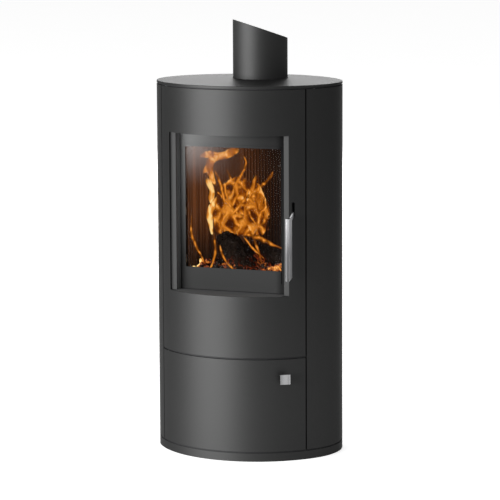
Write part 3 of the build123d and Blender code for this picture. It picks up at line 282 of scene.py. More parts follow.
paint_outside = stove_paint("paint_outside", casing_grey, 0.46, painted_light=casing_painted_light)
paint_pipe = stove_paint("paint_pipe", pipe_grey, 0.54)
paint_inside = stove_paint("paint_inside", inside_grey, 0.62, drift=0.2, grain_depth=0.0001)
print("painted finishes:", paint_outside.name, paint_pipe.name, paint_inside.name)

# %% [markdown]
# ## The folded frame round the window
# The frame is one sheet: two strips stand out at its sides, short returns lead back from them, and the face
# between lies deep and in shade. One tone for all of it would look flat, so light and shade are painted into
# the tone along the folds: painted shade on the sunken face and by the right strip, and painted highlights
# at its upper left, on the left return and on the sill. Their places are measured from the pane, the sunken
# face and the frame's foot.
# %% Painted light and shade that follow the folds
strip_grey = (0.036, 0.0362, 0.036)
sunken_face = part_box("glass_retainer_lower")[0].y
strip_plane = sunken_face - 0.021
pane_low, pane_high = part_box("door_glass")
pane_half_width = pane_high.x
pane_height = pane_high.z - pane_low.z
return_side = pane_low.x - 0.0066
sill_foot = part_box("window_surround")[0].z + 0.0025
sheet = 0.001
# Painted light: shade on the sunken face, and highlights on the left return and on the sill.
sunken_painted_shade = 0.52
return_painted_highlight = 3.4
sill_painted_highlight = 2.4


def folded_frame_painted_light(paint, place):
    """Painted light: full tone on the strips, painted shade at half tone on the sunken face, and a painted
    highlight there towards the upper left.
    """
    across = paint.axis(place, "X")
    depth = paint.axis(place, "Y")
    height = paint.axis(place, "Z")
    sunk = depth.between(strip_plane, sunken_face - 0.004)
    # Painted highlight towards the upper left of the sunken face.
    left_share = (across - pane_half_width * 0.88) / (pane_low.x * 1.84)
    painted_gleam = left_share * abs(left_share) * 4 + 0.5
    upper = ((height - pane_low.z - 0.06) / (pane_height - 0.05)).clamped()
    # Painted shade by the right strip.
    right_painted_shade = across.between(pane_half_width * 0.80, pane_half_width * 0.97, 1.0, 0.42)
    face = ((painted_gleam - 1) * upper + 1) * right_painted_shade * sunken_painted_shade
    # Painted highlights on the left return and on top of the sill.
    behind_strip = depth.between(strip_plane + 0.0002, strip_plane + 0.002)
    left_return = across.between(return_side, return_side - sheet) * behind_strip
    sill = height.between(sill_foot + sheet, sill_foot)
    between_strips = abs(across).between(pane_half_width + 0.0085, pane_half_width + 0.0065)
    sill_top = sill * between_strips * depth.between(sunken_face - 0.002, sunken_face - 0.006)
    return sunk * face + (1 - sunk) + left_return * return_painted_highlight + sill_top * sill_painted_highlight


paint_surround = stove_paint(
    "paint_surround", strip_grey, 0.50, metal=0.1, painted_light=folded_frame_painted_light,
)
print(paint_surround.name, "has its strips", round((sunken_face - strip_plane) * 1000), "mm before its face")

# %% [markdown]
# ## Bare steels
# The handle and the knobs are stainless steel brushed along their length: fine scratches run one
# way, so the noise that drives the roughness and the bump is squeezed across and stretched along.
# The feet, runners and ducts are zinc-plated sheet, which shows soft, cloudy crystals.
# %% Brushed and zinc-plated steel
stainless_tone = (0.125, 0.125, 0.127)
stainless_across_tone = (0.20, 0.20, 0.204)
zinc_tone = (0.50, 0.51, 0.53)
along_scratches = 40
across_scratches = 2600


def brushed_steel(name, tone, lengthways, painted_light=None):
    """The last argument, where given, paints light and shade into the tone and tells which flank is to look
    dull and light.
    """
    steel = Finish(name, Metallic=1.0)
    drawn = tuple(along_scratches if axis == lengthways else across_scratches for axis in "XYZ")
    scratch = steel.noise(steel.stretched(steel.place(), drawn), 1.0, detail=3, roughness=0.65)
    smear = steel.noise(steel.place(), 22, detail=3)
    color = steel.mixed(scratch * 0.6 + smear * 0.4, tuple(c * 0.80 for c in tone), tone)
    # Painted light and shade, scaled into the tone by place.
    if painted_light:
        share, flank = painted_light(steel, steel.place())
        color = steel.scaled(color, share)
        steel.set(Metallic=1 - flank * 0.8)
    return steel.set(
        Base_Color=color,
        Roughness=scratch * 0.08 + smear * 0.06 + 0.12,
        Normal=steel.bump(scratch, 0.00003),
    )


def zinc_plate(name, tone):
    zinc = Finish(name, Metallic=0.85)
    place = zinc.place()
    crystal = zinc.cells(place, 190, output="Color")
    crystal_tone = zinc.axis(crystal, "X")
    film = zinc.noise(place, 14, detail=4)
    shade = crystal_tone * 0.35 + film * 0.65
    color = zinc.mixed(shade, tuple(c * 0.62 for c in tone), tone)
    return zinc.set(Base_Color=color, Roughness=crystal_tone * 0.12 + film * 0.16 + 0.34)


stainless_across = brushed_steel("stainless_brushed_across", stainless_across_tone, "X")
zinc = zinc_plate("zinc_plated", zinc_tone)
print("steels:", stainless_across.name, zinc.name)

# %% [markdown]
# ## Handle, knob and lever
# These bright pieces are small and stand out against the dark door, so one sees how each of their sides
# meets the light: the front mirrors the pale surroundings, and the brushed flank looks dull and light. One
# tone would hide that, so that light is painted: each piece's tone has its own gain over its width and
# height, with painted highlights and painted shade.
# %% Painted light on the handle, the knob and the lever
handle_low, handle_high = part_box("handle_bar")
knob_low, knob_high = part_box("square_knob")
knob_width = knob_high.x - knob_low.x
flank_depth = 0.0008
flank_edge = 0.0002


def flank_of(steel, place, right_side):
    """The side that looks away from the stove's middle, as a mask."""
    return steel.axis(place, "X").between(right_side - flank_depth, right_side - flank_edge)


def handle_painted_light(steel, place):
    """Painted light: the bar's front gets painted shade downwards, its near edge a painted glint, and its
    flank a painted highlight.
    """
    across = steel.axis(place, "X")
    height = steel.axis(place, "Z")
    front = height.between(handle_low.z + 0.06, handle_high.z, 0.40, 1.0)
    near_edge_painted_glint = across.between(handle_low.x + 0.0045, handle_low.x) * 1.3
    flank = flank_of(steel, place, handle_high.x)
    return (front + near_edge_painted_glint) * (1 - flank) + flank * (front * 4 + 1.5), flank


def knob_painted_light(steel, place):
    """Painted light: the knob's face gets a painted highlight towards its right, painted shade at its far
    edge, and a painted highlight on its flank.
    """
    across = steel.axis(place, "X")
    front = across.between(knob_low.x - knob_width * 0.2, knob_low.x + knob_width * 0.6, 0.45, 2.7)
    far_edge_painted_shade = across.between(knob_low.x + knob_width * 0.7, knob_high.x) * 0.8
    flank = flank_of(steel, place, knob_high.x)
    return (front - far_edge_painted_shade) * (1 - flank) + flank * 7, flank


def lever_painted_light(steel, place):
    """Painted light: the lever's arm gets a painted highlight outside the door and painted shade in the
    slot.
    """
    # Painted highlight on the arm outside the slot, painted shade inside it.
    outside = steel.axis(place, "Y").between(handle_high.y + 0.030, handle_high.y + 0.012)
    return outside * 3.6 + 0.2, outside


stainless_lever = brushed_steel("stainless_lever", stainless_tone, "Z", painted_light=lever_painted_light)
stainless_bar = brushed_steel("stainless_bar", stainless_tone, "Z", painted_light=handle_painted_light)
stainless_knob = brushed_steel("stainless_knob", stainless_tone, "Z", painted_light=knob_painted_light)
print("bright pieces:", stainless_bar.name, stainless_knob.name, stainless_lever.name)

# %% [markdown]
# ## Cast iron and rope
# The grate is sand-cast, so it is rough at two scales and a little rusty. The seals are graphited
# glass-fibre rope, whose strands cross in two slanting waves.
# %% Cast iron and seal rope
iron_black = (0.030, 0.029, 0.029)
rust_brown = (0.085, 0.045, 0.028)
graphite = (0.028, 0.027, 0.026)
glass_fibre = (0.17, 0.165, 0.16)
strands = 110


def cast_iron(name):
    iron = Finish(name, Metallic=0.3)
    place = iron.place()
    sand = iron.noise(place, 520, detail=4, roughness=0.7)
    rust = iron.noise(place, 30, detail=4).between(0.55, 0.75)
    color = iron.mixed(rust * 0.5, iron_black, rust_brown)
    return iron.set(Base_Color=color, Roughness=sand * 0.2 + 0.60, Normal=iron.bump(sand, 0.0003))


def seal_rope(name):
    rope = Finish(name, Specular_IOR_Level=0.2)
    place = rope.place()
    waves = {"wave_type": "BANDS", "bands_direction": "DIAGONAL", "wave_profile": "SIN"}
    there = rope.node("ShaderNodeTexWave", waves, {"Vector": place, "Scale": strands, "Distortion": 0.6})
    mirrored = rope.stretched(place, (-1, 1, 1))
    back = rope.node("ShaderNodeTexWave", waves, {"Vector": mirrored, "Scale": strands, "Distortion": 0.6})
    weave = there.most(back)
    fibre = rope.noise(place, 900, detail=2)
    color = rope.mixed(weave * 0.7 + fibre * 0.3, graphite, glass_fibre)
    return rope.set(Base_Color=color, Roughness=fibre * 0.1 + 0.82, Normal=rope.bump(weave, 0.0008))


cast = cast_iron("cast_iron_raw")
rope = seal_rope("glass_fibre_rope")
print("rough finishes:", cast.name, rope.name)

# %% [markdown]
# ## Lining boards
# The chamber is lined with grooved boards of pressed vermiculite, full of small golden flakes.
# Soot browns them and smoke draws dark bands down them. The fire's light on them is painted: they glow
# though they are no lamp, and painted shade darkens their grooves and their right and upper parts. The
# grooves are there in the solids. The finish only needs to know how deep a point lies behind the board's
# front, which is its distance along the way that the board faces.
# %% Vermiculite
lining_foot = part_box("rear_lining")[0].z
rear_face = -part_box("rear_lining")[0].y
side_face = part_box("right_lining")[0].x
groove_floor = 0.002
window_middle = pane_low.z * 0.45 + pane_high.z * 0.55
soot_black = (0.014, 0.009, 0.007)
board_brown = (0.060, 0.030, 0.016)
board_gold = (0.125, 0.070, 0.040)
# Painted shade in the grooves: near black, less dark on the right board.
painted_groove_black = (0.006, 0.0035, 0.0025)
painted_groove_dim = (0.016, 0.009, 0.007)
# Painted firelight: the boards glow with it, though they are no lamp.
painted_firelight = (0.30, 0.088, 0.022)


def vermiculite(name, facing, face, glow, painted_groove_shade=painted_groove_black, streaks=0.0):
    """facing is the way the board looks and face how far its front lies along that.

    glow: how strong the painted light of the fire is that the board gives off; streaks: how dark the bands
    of smoke are.
    """
    board = Finish(name, Specular_IOR_Level=0.0, Emission_Strength=1.0)
    place = board.place()
    flake = board.axis(board.cells(place, 260, output="Color"), "X")
    sheen = board.noise(place, 60, detail=4)
    outward = {0: place, 1: facing}
    along = board.node("ShaderNodeVectorMath", {"operation": "DOT_PRODUCT"}, outward, output="Value")
    height = board.axis(place, "Z")
    upwards = height.between(window_middle, pane_high.z)
    # Painted shade in the grooves, fading high up.
    ridge = along.between(face - groove_floor, face - groove_floor / 2).most(upwards * 0.62)
    soot = (board.noise(board.stretched(place, (16, 16, 2.2)), 1.0, detail=4) * 1.6 - 0.3).clamped()
    base = board.mixed(flake * 0.6 + sheen * 0.4, board_brown, board_gold)
    # Painted shade: the boards darken towards the right.
    leftwards = board.axis(place, "X").between(side_face * 0.6, -side_face)
    sooty = board.mixed(soot * 0.7, base, soot_black)
    ridged = board.mixed(ridge, painted_groove_shade, sooty)
    smoke_bands = board.noise(board.stretched(place, (125, 125, 0.8)), 1.0, detail=1)
    drawn = smoke_bands.between(0.40, 0.58) * streaks
    # Painted shade darkens the upper right, joined with the real bands of smoke.
    painted_shade_and_smoke = (1 - upwards * (1 - leftwards) * 0.72) * (1 - drawn)
    # Painted firelight: it sets in a little above the chamber's floor, is strongest at the left and is
    # nearly off in the grooves.
    painted_fire_band = height.between(lining_foot + 0.06, lining_foot + 0.24)
    painted_board_light = painted_fire_band * leftwards * painted_shade_and_smoke * (ridge * 0.92 + 0.08) * (1 - soot * 0.4) * glow
    return board.set(
        Base_Color=board.scaled(ridged, (leftwards * 0.94 + 0.06) * painted_shade_and_smoke),
        Roughness=sheen * 0.1 + 0.82,
        Emission_Color=board.mixed(painted_board_light, (0, 0, 0), painted_firelight),
        Normal=board.bump(flake * 0.5 + sheen, 0.0003),
    )


lining_rear = vermiculite("vermiculite_rear", (0, -1, 0), rear_face, glow=0.34)
lining_left = vermiculite("vermiculite_left", (1, 0, 0), -side_face, glow=0.44, streaks=0.6)
lining_right = vermiculite("vermiculite_right", (-1, 0, 0), -side_face, glow=0.34, painted_groove_shade=painted_groove_dim)
lining_plain = vermiculite("vermiculite_plain", (0, 0, 0), -1.0, glow=0.20)
print("boards:", lining_rear.name, lining_left.name, lining_right.name, lining_plain.name)

# %% [markdown]
# ## Glass and magnet housing
# The pane is clear glass-ceramic. Real refraction through a thin flat pane only costs time, so the pane lets
# most light straight through and keeps its gloss, with a breath of smoke film that is thicker towards its
# edges and a painted reflection of the light room at its upper left. The door catch is a magnet in a dark
# moulded housing.
# %% Glass and moulded plastic
thin_film = (0.020, 0.013, 0.011)
thick_film = (0.050, 0.034, 0.028)
# Painted reflection of the light room, at the pane's upper left.
painted_reflection_white = (0.195, 0.175, 0.168)
housing_black = (0.03, 0.03, 0.032)


def stove_glass(name):
    """The film thickens at the sides, and at the upper left a painted reflection of the light room whitens
    the pane.
    """
    glass = Finish(name, IOR=1.5)
    place = glass.place()
    side = abs(glass.axis(place, "X")).between(pane_half_width * 0.72, pane_half_width)
    smoke = glass.noise(glass.stretched(place, (7, 7, 4)), 1.0, detail=4)
    # Painted reflection at the upper left, whitening the pane and making it less clear.
    leftwards = glass.axis(place, "X").between(pane_half_width * 0.3, pane_low.x)
    upwards = glass.axis(place, "Z").between(pane_low.z + pane_height * 0.62, pane_high.z)
    painted_reflection = leftwards * upwards
    return glass.set(
        Base_Color=glass.mixed(painted_reflection, glass.mixed(smoke, thin_film, thick_film), painted_reflection_white),
        Roughness=smoke * 0.05 + 0.02,
        Alpha=side * 0.03 + smoke * 0.02 + painted_reflection * 0.30 + 0.008,
    )


def moulded(name, tone):
    plastic = Finish(name)
    grain = plastic.noise(plastic.place(), 900, detail=2)
    color = plastic.mixed(grain, tuple(c * 0.8 for c in tone), tone)
    return plastic.set(Base_Color=color, Roughness=grain * 0.1 + 0.42, Normal=plastic.bump(grain, 0.00005))


pane = stove_glass("stove_glass")
housing = moulded("magnet_housing", housing_black)
print("clear and moulded finishes:", pane.name, housing.name)

# %% [markdown]
# ## Charred wood
# Burning wood chars into black blocks divided by a net of cracks, and low in the fire the cracks
# glow. A cell texture gives that net directly: the distance to a cell's edge is the crack.
# %% Charred wood
bed_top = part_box("ember_bed")[1].z
crack_black = (0.001, 0.0006, 0.0005)
char_black = (0.006, 0.0038, 0.0026)
ash_grey = (0.06, 0.052, 0.048)
glowing_cracks = (
    (0.0, (0, 0, 0)),
    (0.35, (0.45, 0.06, 0.01)),
    (1.0, (1.0, 0.42, 0.06)),
)


def charred_wood(name):
    wood = Finish(name, Specular_IOR_Level=0.0, Emission_Strength=1.0)
    place = wood.place()
    crack = wood.cells(place, 62, feature="DISTANCE_TO_EDGE")
    fine = wood.noise(place, 320, detail=4, roughness=0.65)
    block = crack.between(0.0, 0.16)
    ash = wood.noise(place, 26, detail=4).between(0.58, 0.76)
    color = wood.mixed(block, crack_black, char_black)
    dusted = wood.mixed(ash * block * 0.12, color, ash_grey)
    height = wood.axis(place, "Z")
    heat = height.between(bed_top + 0.055, bed_top - 0.005)
    patch = wood.noise(place, 17, detail=3).between(0.46, 0.66)
    glow = crack.between(0.05, 0.0) * heat * patch
    return wood.set(
        Base_Color=dusted,
        Roughness=fine * 0.2 + 0.62,
        Emission_Color=wood.ramp(glow, *glowing_cracks),
        Normal=wood.bump(block + fine * 0.25, 0.0018),
    )


charred = charred_wood("charred_wood")
print("fuel finish:", charred.name)

# %% [markdown]
# ## Glowing embers
# Embers use the same net, hotter, with grey ash on top. Each cell has a warmth of its own, so that
# some lumps are dead and others yellow, and the lumps in the left front corner are the hottest.
# %% Embers
ash_dark = (0.008, 0.006, 0.005)
ash_light = (0.040, 0.033, 0.028)
warm_from_right = (0.045, 0.075)
warm_to_left = (-0.104, -0.118)
glowing_lumps = (
    (0.20, (0.0, 0.0, 0.0)),
    (0.40, (0.20, 0.030, 0.003)),
    (0.62, (0.74, 0.27, 0.035)),
    (0.85, (1.0, 0.68, 0.24)),
)


def embers_finish(name):
    ember = Finish(name, Specular_IOR_Level=0.0, Emission_Strength=1.3)
    place = ember.place()
    crust = ember.cells(place, 120, feature="DISTANCE_TO_EDGE").between(0.0, 0.22)
    patch = ember.noise(place, 24, detail=4, roughness=0.6)
    across = ember.axis(place, "X")
    right_side = across.between(*warm_from_right)
    left_side = across.between(*warm_to_left)
    chip = ember.axis(ember.cells(place, 70, output="Color"), "X")
    warmth = (patch - 0.44) * 1.7 + (chip - 0.5) * 0.5
    heat = warmth + (1 - crust) * 0.2 + right_side * 0.06 + left_side * 0.55
    ash = ember.noise(place, 75, detail=3)
    return ember.set(
        Base_Color=ember.mixed(ash, ash_dark, ash_light),
        Roughness=ash * 0.1 + 0.85,
        Emission_Color=ember.ramp(heat.clamped(), *glowing_lumps),
        Normal=ember.bump(crust + ash * 0.4, 0.0015),
    )


embers = embers_finish("glowing_embers")
print("fuel finish:", embers.name)

# %% [markdown]
# ## Dressing the ready-made solids
# Each solid keeps its shape and only changes its material. A table of finish to solids is easier
# to check than sixty lines, and the last line names any solid that was forgotten.
# %% A finish for every solid
wardrobe = {
    paint_outside: (
        "plinth top_cover left_side_panel right_side_panel rear_panel fire_door_skin lower_door_skin"
    ),
    paint_pipe: "flue_pipe",
    paint_surround: "window_surround glass_retainer_upper glass_retainer_lower",
    paint_inside: (
        "base_plate divider_plate top_plate front_frame compartment_frame compartment_liner firebox_shell "
        "flue_spigot fire_door_ribs door_back_frame latch_bracket lower_door_ribs ash_drawer_front"
    ),
    zinc: (
        "levelling_feet rear_heat_shield ash_runners air_plenum air_inlet_duct air_inlet_spigot hinge_pins "
        "hinge_washers latch_keeper case_screws glass_clips glass_clip_screws latch_pin ash_drawer "
        "air_shutter strike_plate"
    ),
    stainless_bar: "handle_bar",
    stainless_knob: "square_knob",
    stainless_lever: "latch_lever",
    stainless_across: "knob_stem ash_drawer_pull air_knob",
    lining_rear: "rear_lining",
    lining_left: "left_lining",
    lining_right: "right_lining",
    lining_plain: "corner_linings baffle floor_bricks",
    cast: "grate log_guard",
    rope: "door_seal_rope glass_gasket",
    pane: "door_glass",
    housing: "magnet_catch",
    charred: "logs",
    embers: "ember_bed",
}
for finish, names in wardrobe.items():
    for name in names.split():
        nodes[name].data.materials.clear()
        nodes[name].data.materials.append(finish)
dressed = {name for names in wardrobe.values() for name in names.split()}
print("dressed", len(dressed), "solids; left out:", sorted(set(nodes) - dressed))

# %% [markdown]
# ## A hearth to work in
# Everything that burns is placed from the ember bed: so many millimetres to the right of the
# stove's centre line, so many behind its middle, and so many above the bed. Each piece starts as a
# primitive, is shaped in edit mode and ends at the origin with its place in its mesh.
# %% Places, selection and finished pieces
def hearth(across, behind, above):
    return Vector((across / 1000, behind / 1000, bed_top + above / 1000))


def start_fresh():
    """Let go of everything, so that the next operator works on its own piece alone."""
    bpy.ops.object.select_all(action="DESELECT")


def use(modifier_kind, **settings):
    """Put a modifier on the active piece and apply it."""
    piece = bpy.context.object
    modifier = piece.modifiers.new(modifier_kind.lower(), modifier_kind)
    for name, value in settings.items():
        setattr(modifier, name, value)
    bpy.ops.object.modifier_apply(modifier=modifier.name)


def lumps(name, kind, size):
    """A relief for the displace modifier, with hills of one size in metres."""
    relief = bpy.data.textures.new(name, kind)
    relief.noise_scale = size
    return relief


def settle(name, finish):
    """Name the active piece, write its place into its mesh, paint it and let the body carry it."""
    piece = bpy.context.object
    bpy.ops.object.transform_apply(location=True, rotation=True, scale=True)
    piece.name = name
    piece.data.name = name
    piece.data.materials.clear()
    piece.data.materials.append(finish)
    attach(piece, "stove_body")
    return piece


relief_bark = lumps("relief_bark", "CLOUDS", 0.045)
relief_char = lumps("relief_char", "VORONOI", 0.011)
relief_flicker = lumps("relief_flicker", "CLOUDS", 0.06)
print("ember bed top at", round(bed_top, 4))

# %% [markdown]
# ## Charred logs
# Burnt firewood keeps a log's shape but loses its edges: it tapers, its ends are hollowed and its
# skin breaks into small black blocks. A cylinder is dented at random in edit mode, its ends are
# inset and pushed in, and a remesh gives even faces that two reliefs then push in and out.
# %% One log from end to end
log_grid = 0.0026
bark_relief = 0.014
char_relief = -0.0065


def charred_log(start, end, radius, taper, seed):
    """taper: the share of its width that the log keeps at its end."""
    start_fresh()
    along = end - start
    bpy.ops.mesh.primitive_cylinder_add(
        vertices=14, radius=radius, depth=along.length, location=(start + end) / 2,
        rotation=along.to_track_quat("Z", "Y").to_euler(),
    )
    log = bpy.context.object
    bpy.ops.object.mode_set(mode="EDIT")
    bpy.ops.mesh.select_mode(type="FACE")
    shape = bmesh.from_edit_mesh(log.data)
    for face in shape.faces:
        face.select = abs(face.normal.z) > 0.9
    bmesh.update_edit_mesh(log.data)
    bpy.ops.mesh.inset(thickness=radius * 0.3, depth=-radius * 0.12)
    for face in shape.faces:
        face.select = face.calc_center_median().z > along.length * 0.4
    bmesh.update_edit_mesh(log.data)
    bpy.ops.transform.resize(value=(taper, taper, 1), orient_type="LOCAL", center_override=end)
    bpy.ops.mesh.select_all(action="SELECT")
    bpy.ops.mesh.subdivide(number_cuts=3, smoothness=0.2)
    bpy.ops.transform.vertex_random(offset=radius * 0.16, seed=seed)
    bpy.ops.mesh.vertices_smooth(factor=0.5, repeat=2)
    bpy.ops.object.mode_set(mode="OBJECT")
    use("REMESH", mode="VOXEL", voxel_size=log_grid)
    use("DISPLACE", texture=relief_bark, texture_coords="GLOBAL", strength=bark_relief, mid_level=0.5)
    use("DISPLACE", texture=relief_char, texture_coords="GLOBAL", strength=char_relief, mid_level=0.0)
    use("SMOOTH", factor=0.5, iterations=1)
    bpy.ops.object.shade_smooth()
    bpy.ops.object.transform_apply(location=True, rotation=True, scale=True)
    return log


print("a log is remeshed at", log_grid * 1000, "mm")

# %% [markdown]
# ## The pile
# Two logs lie on the embers and three lean over them, one with its foot right behind the glass.
# They burn as one pile, so they are joined to one piece, which takes the plain solid logs' place.
# %% The pile, as one piece in place of the solid logs
pile = [
    charred_log(hearth(42, -84, -8), hearth(-70, -6, 94), 0.030, 0.96, seed=3),
    charred_log(hearth(-104, 58, 20), hearth(100, 64, 26), 0.036, 0.94, seed=8),
    charred_log(hearth(-116, -30, 6), hearth(-40, -26, 18), 0.024, 0.90, seed=5),
    charred_log(hearth(118, -20, 8), hearth(30, 30, 62), 0.026, 0.94, seed=12),
    charred_log(hearth(20, 40, 22), hearth(84, 10, 62), 0.024, 0.86, seed=17),
]
start_fresh()
for log in pile:
    log.select_set(True)
bpy.context.view_layer.objects.active = pile[0]
bpy.ops.object.join()
pile_of_logs = settle("charred_logs", charred)
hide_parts("logs")
print(pile_of_logs.name, len(pile_of_logs.data.polygons), "faces")

# %% [markdown]
# ## Embers
# The bed under the flames is a heap of glowing lumps, higher towards the glass. One lump is
# modelled and then copied with a fixed seed, turned and scaled at random, and the copies are
# joined to one piece that lies on the solid bed.
# %% One lump
lump_radius = 0.010
lump_dents = 0.0035
lump_grain = 0.0008
start_fresh()
bpy.ops.mesh.primitive_ico_sphere_add(subdivisions=2, radius=lump_radius)
bpy.ops.object.mode_set(mode="EDIT")
bpy.ops.transform.vertex_random(offset=lump_dents, seed=4)
bpy.ops.mesh.subdivide(number_cuts=1, smoothness=0.4)
bpy.ops.transform.vertex_random(offset=lump_grain, seed=6)
bpy.ops.object.mode_set(mode="OBJECT")
first_lump = bpy.context.object
print("a lump has", len(first_lump.data.polygons), "faces")

# %% Where the lumps lie
chance = random.Random(21)
lump_count = 250
heap_front = -86
heap_rear = 40
heap_half_width = 116
heap_ridge = -58
heap_spread = 34
heap_top = 30
corner_across = (-132, -110)
corner_behind = (-96, -82)
corner_above = (-18, 22)


def heap_height(across, behind):
    """How high the heap stands over the solid bed, in millimetres."""
    ridge = math.exp(-(((behind - heap_ridge) / heap_spread) ** 2))
    swell = 0.72 + 0.28 * math.sin(across / 21 + 1.2)
    return heap_top * ridge * swell + 5


def heap_spot(number):
    """A place in the heap; every eighth lump has rolled into the chamber's front left corner."""
    if number % 8 == 0:
        return chance.uniform(*corner_across), chance.uniform(*corner_behind), chance.uniform(*corner_above)
    across = chance.uniform(-heap_half_width, heap_half_width)
    behind = heap_front + (heap_rear - heap_front) * chance.random() ** 1.5
    return across, behind, heap_height(across, behind) * (1 if number % 2 else chance.random())


print("the heap's ridge is", round(heap_height(0, heap_ridge)), "mm over the bed")

# %% The heap
heap = [first_lump]
for number in range(lump_count):
    across, behind, above = heap_spot(number)
    turn = Matrix.Rotation(chance.uniform(0, math.tau), 4, Vector((chance.random(), chance.random(), 1)))
    size = Matrix.Diagonal((chance.uniform(0.6, 1.3), chance.uniform(0.5, 0.9), chance.uniform(0.4, 0.8), 1))
    lump = first_lump.copy()
    lump.data = first_lump.data.copy()
    lump.data.transform(Matrix.Translation(hearth(across, behind, above)) @ turn @ size)
    bpy.context.scene.collection.objects.link(lump)
    heap.append(lump)
first_lump.data.transform(Matrix.Translation(hearth(0, heap_front + 8, 4)))
start_fresh()
for lump in heap:
    lump.select_set(True)
bpy.context.view_layer.objects.active = first_lump
bpy.ops.object.join()
bpy.ops.object.shade_smooth()
ember_lumps = settle("ember_lumps", embers)
print(ember_lumps.name, len(ember_lumps.data.polygons), "faces")

# %% [markdown]
# ## The glow of a flame
# A flame is a thin glowing sheet folded in the air: its rims and folds are bright, because there
# one looks along the sheet, and between them it is nearly clear. So each tongue is a ribbon. Its
# coordinates across and along drive a finish that is bright at the rims, in a net of folds, and
# clear in the holes and towards the tip.
# %% Flame finishes
flame_heat = (
    (0.06, (0.06, 0.010, 0.0005)),
    (0.28, (0.22, 0.045, 0.001)),
    (0.48, (0.50, 0.140, 0.006)),
    (0.68, (0.82, 0.30, 0.035)),
    (0.96, (1.0, 0.68, 0.26)),
)
eddy_scale = 24.0
eddy_reach = 0.034


def flame_finish(name, fold_size, seed, body, pale, ragged, net=0.46, heart=0.0, soft=0.2):
    """fold_size in metres; seed moves the folds to other places.

    body: how dense the sheet is between its folds.
    net, heart, pale: how hot the folds, the middle and the whole of it are.
    ragged: how torn its rims are; soft: how far in from the rims it fades.
    """
    flame = Finish(name, Specular_IOR_Level=0.0, Roughness=1.0, Emission_Strength=1.0)
    flame.shader.inputs["Base Color"].default_value = (0, 0, 0, 1)
    ribbon = flame.node("ShaderNodeUVMap", {"uv_map": "ribbon"})
    across = flame.axis(ribbon, "X")
    along = flame.axis(ribbon, "Y")
    place = flame.place()
    eddy = {"Vector": place, "Scale": eddy_scale, "Detail": 2.0}
    push = flame.node("ShaderNodeTexNoise", None, eddy, output="Color")
    shifted = {0: push, 1: (eddy_reach, eddy_reach, eddy_reach), 2: place}
    licked = flame.node("ShaderNodeVectorMath", {"operation": "MULTIPLY_ADD"}, shifted, output="Vector")
    drawn_up = {"Vector": licked, "Scale": (1, 0.4, 0.72), "Location": (seed, 0, 0)}
    tall = flame.node("ShaderNodeMapping", None, drawn_up)
    fold = flame.cells(tall, 1 / fold_size, feature="DISTANCE_TO_EDGE")
    near_fold = fold.between(0.34, 0.0)
    thread = near_fold * near_fold
    wisp = flame.noise(flame.stretched(licked, (1, 1, 0.4)), 80, detail=3)
    middle = 1 - abs(across * 2 - 1)
    torn = middle + (wisp - 0.5) * ragged
    rim = torn.between(0.0, 0.16) * torn.between(0.5, 0.16)
    sheet = torn.between(0.02, soft)
    root_to_tip = along.between(0.0, 0.06) * along.between(1.0, 0.88)
    heat = thread * net * (wisp + 0.5) + rim * 0.14 + middle * heart + wisp * 0.40 + (pale - 0.17)
    cover = (thread * 0.8 + rim * 0.3 + wisp * 0.3 + body) * sheet * root_to_tip
    return flame.set(Emission_Color=flame.ramp(heat.clamped(), *flame_heat), Alpha=cover.clamped())


flame_deep = flame_finish("flame_deep", 0.042, seed=0.37, body=0.18, pale=-0.08, ragged=1.1)
flame_veil = flame_finish("flame_veil", 0.038, seed=0.0, body=-0.02, net=0.54, pale=0.02, ragged=0.8)
flame_lick = flame_finish(
    "flame_lick", 0.024, seed=0.55, body=0.22, net=0.20, heart=0.34, pale=0.10, ragged=0.5, soft=0.85,
)
flame_plume = flame_finish(
    "flame_plume", 0.032, seed=0.22, body=0.60, net=0.30, heart=0.22, pale=0.22, ragged=0.8, soft=0.5,
)
flame_core = flame_finish(
    "flame_core", 0.026, seed=0.81, body=0.75, net=0.34, heart=0.46, pale=0.32, ragged=0.4, soft=0.45,
)
print("flames:", [f.name for f in (flame_deep, flame_veil, flame_lick, flame_plume, flame_core)])

# %% [markdown]
# ## A tongue of flame
# A ribbon could be drawn as a curve, but a mesh lets each ring have its own width. A plane's first
# edge is laid at the root and its second at the next stop, and that edge is then extruded from
# stop to stop, widened and turned. Its own map of places across and along is written on the coarse
# rings, and a subdivision rounds both. A last relief makes the sheet flicker in depth.
# %% A tongue of flame, extruded ring by ring
flicker_reach = 0.02


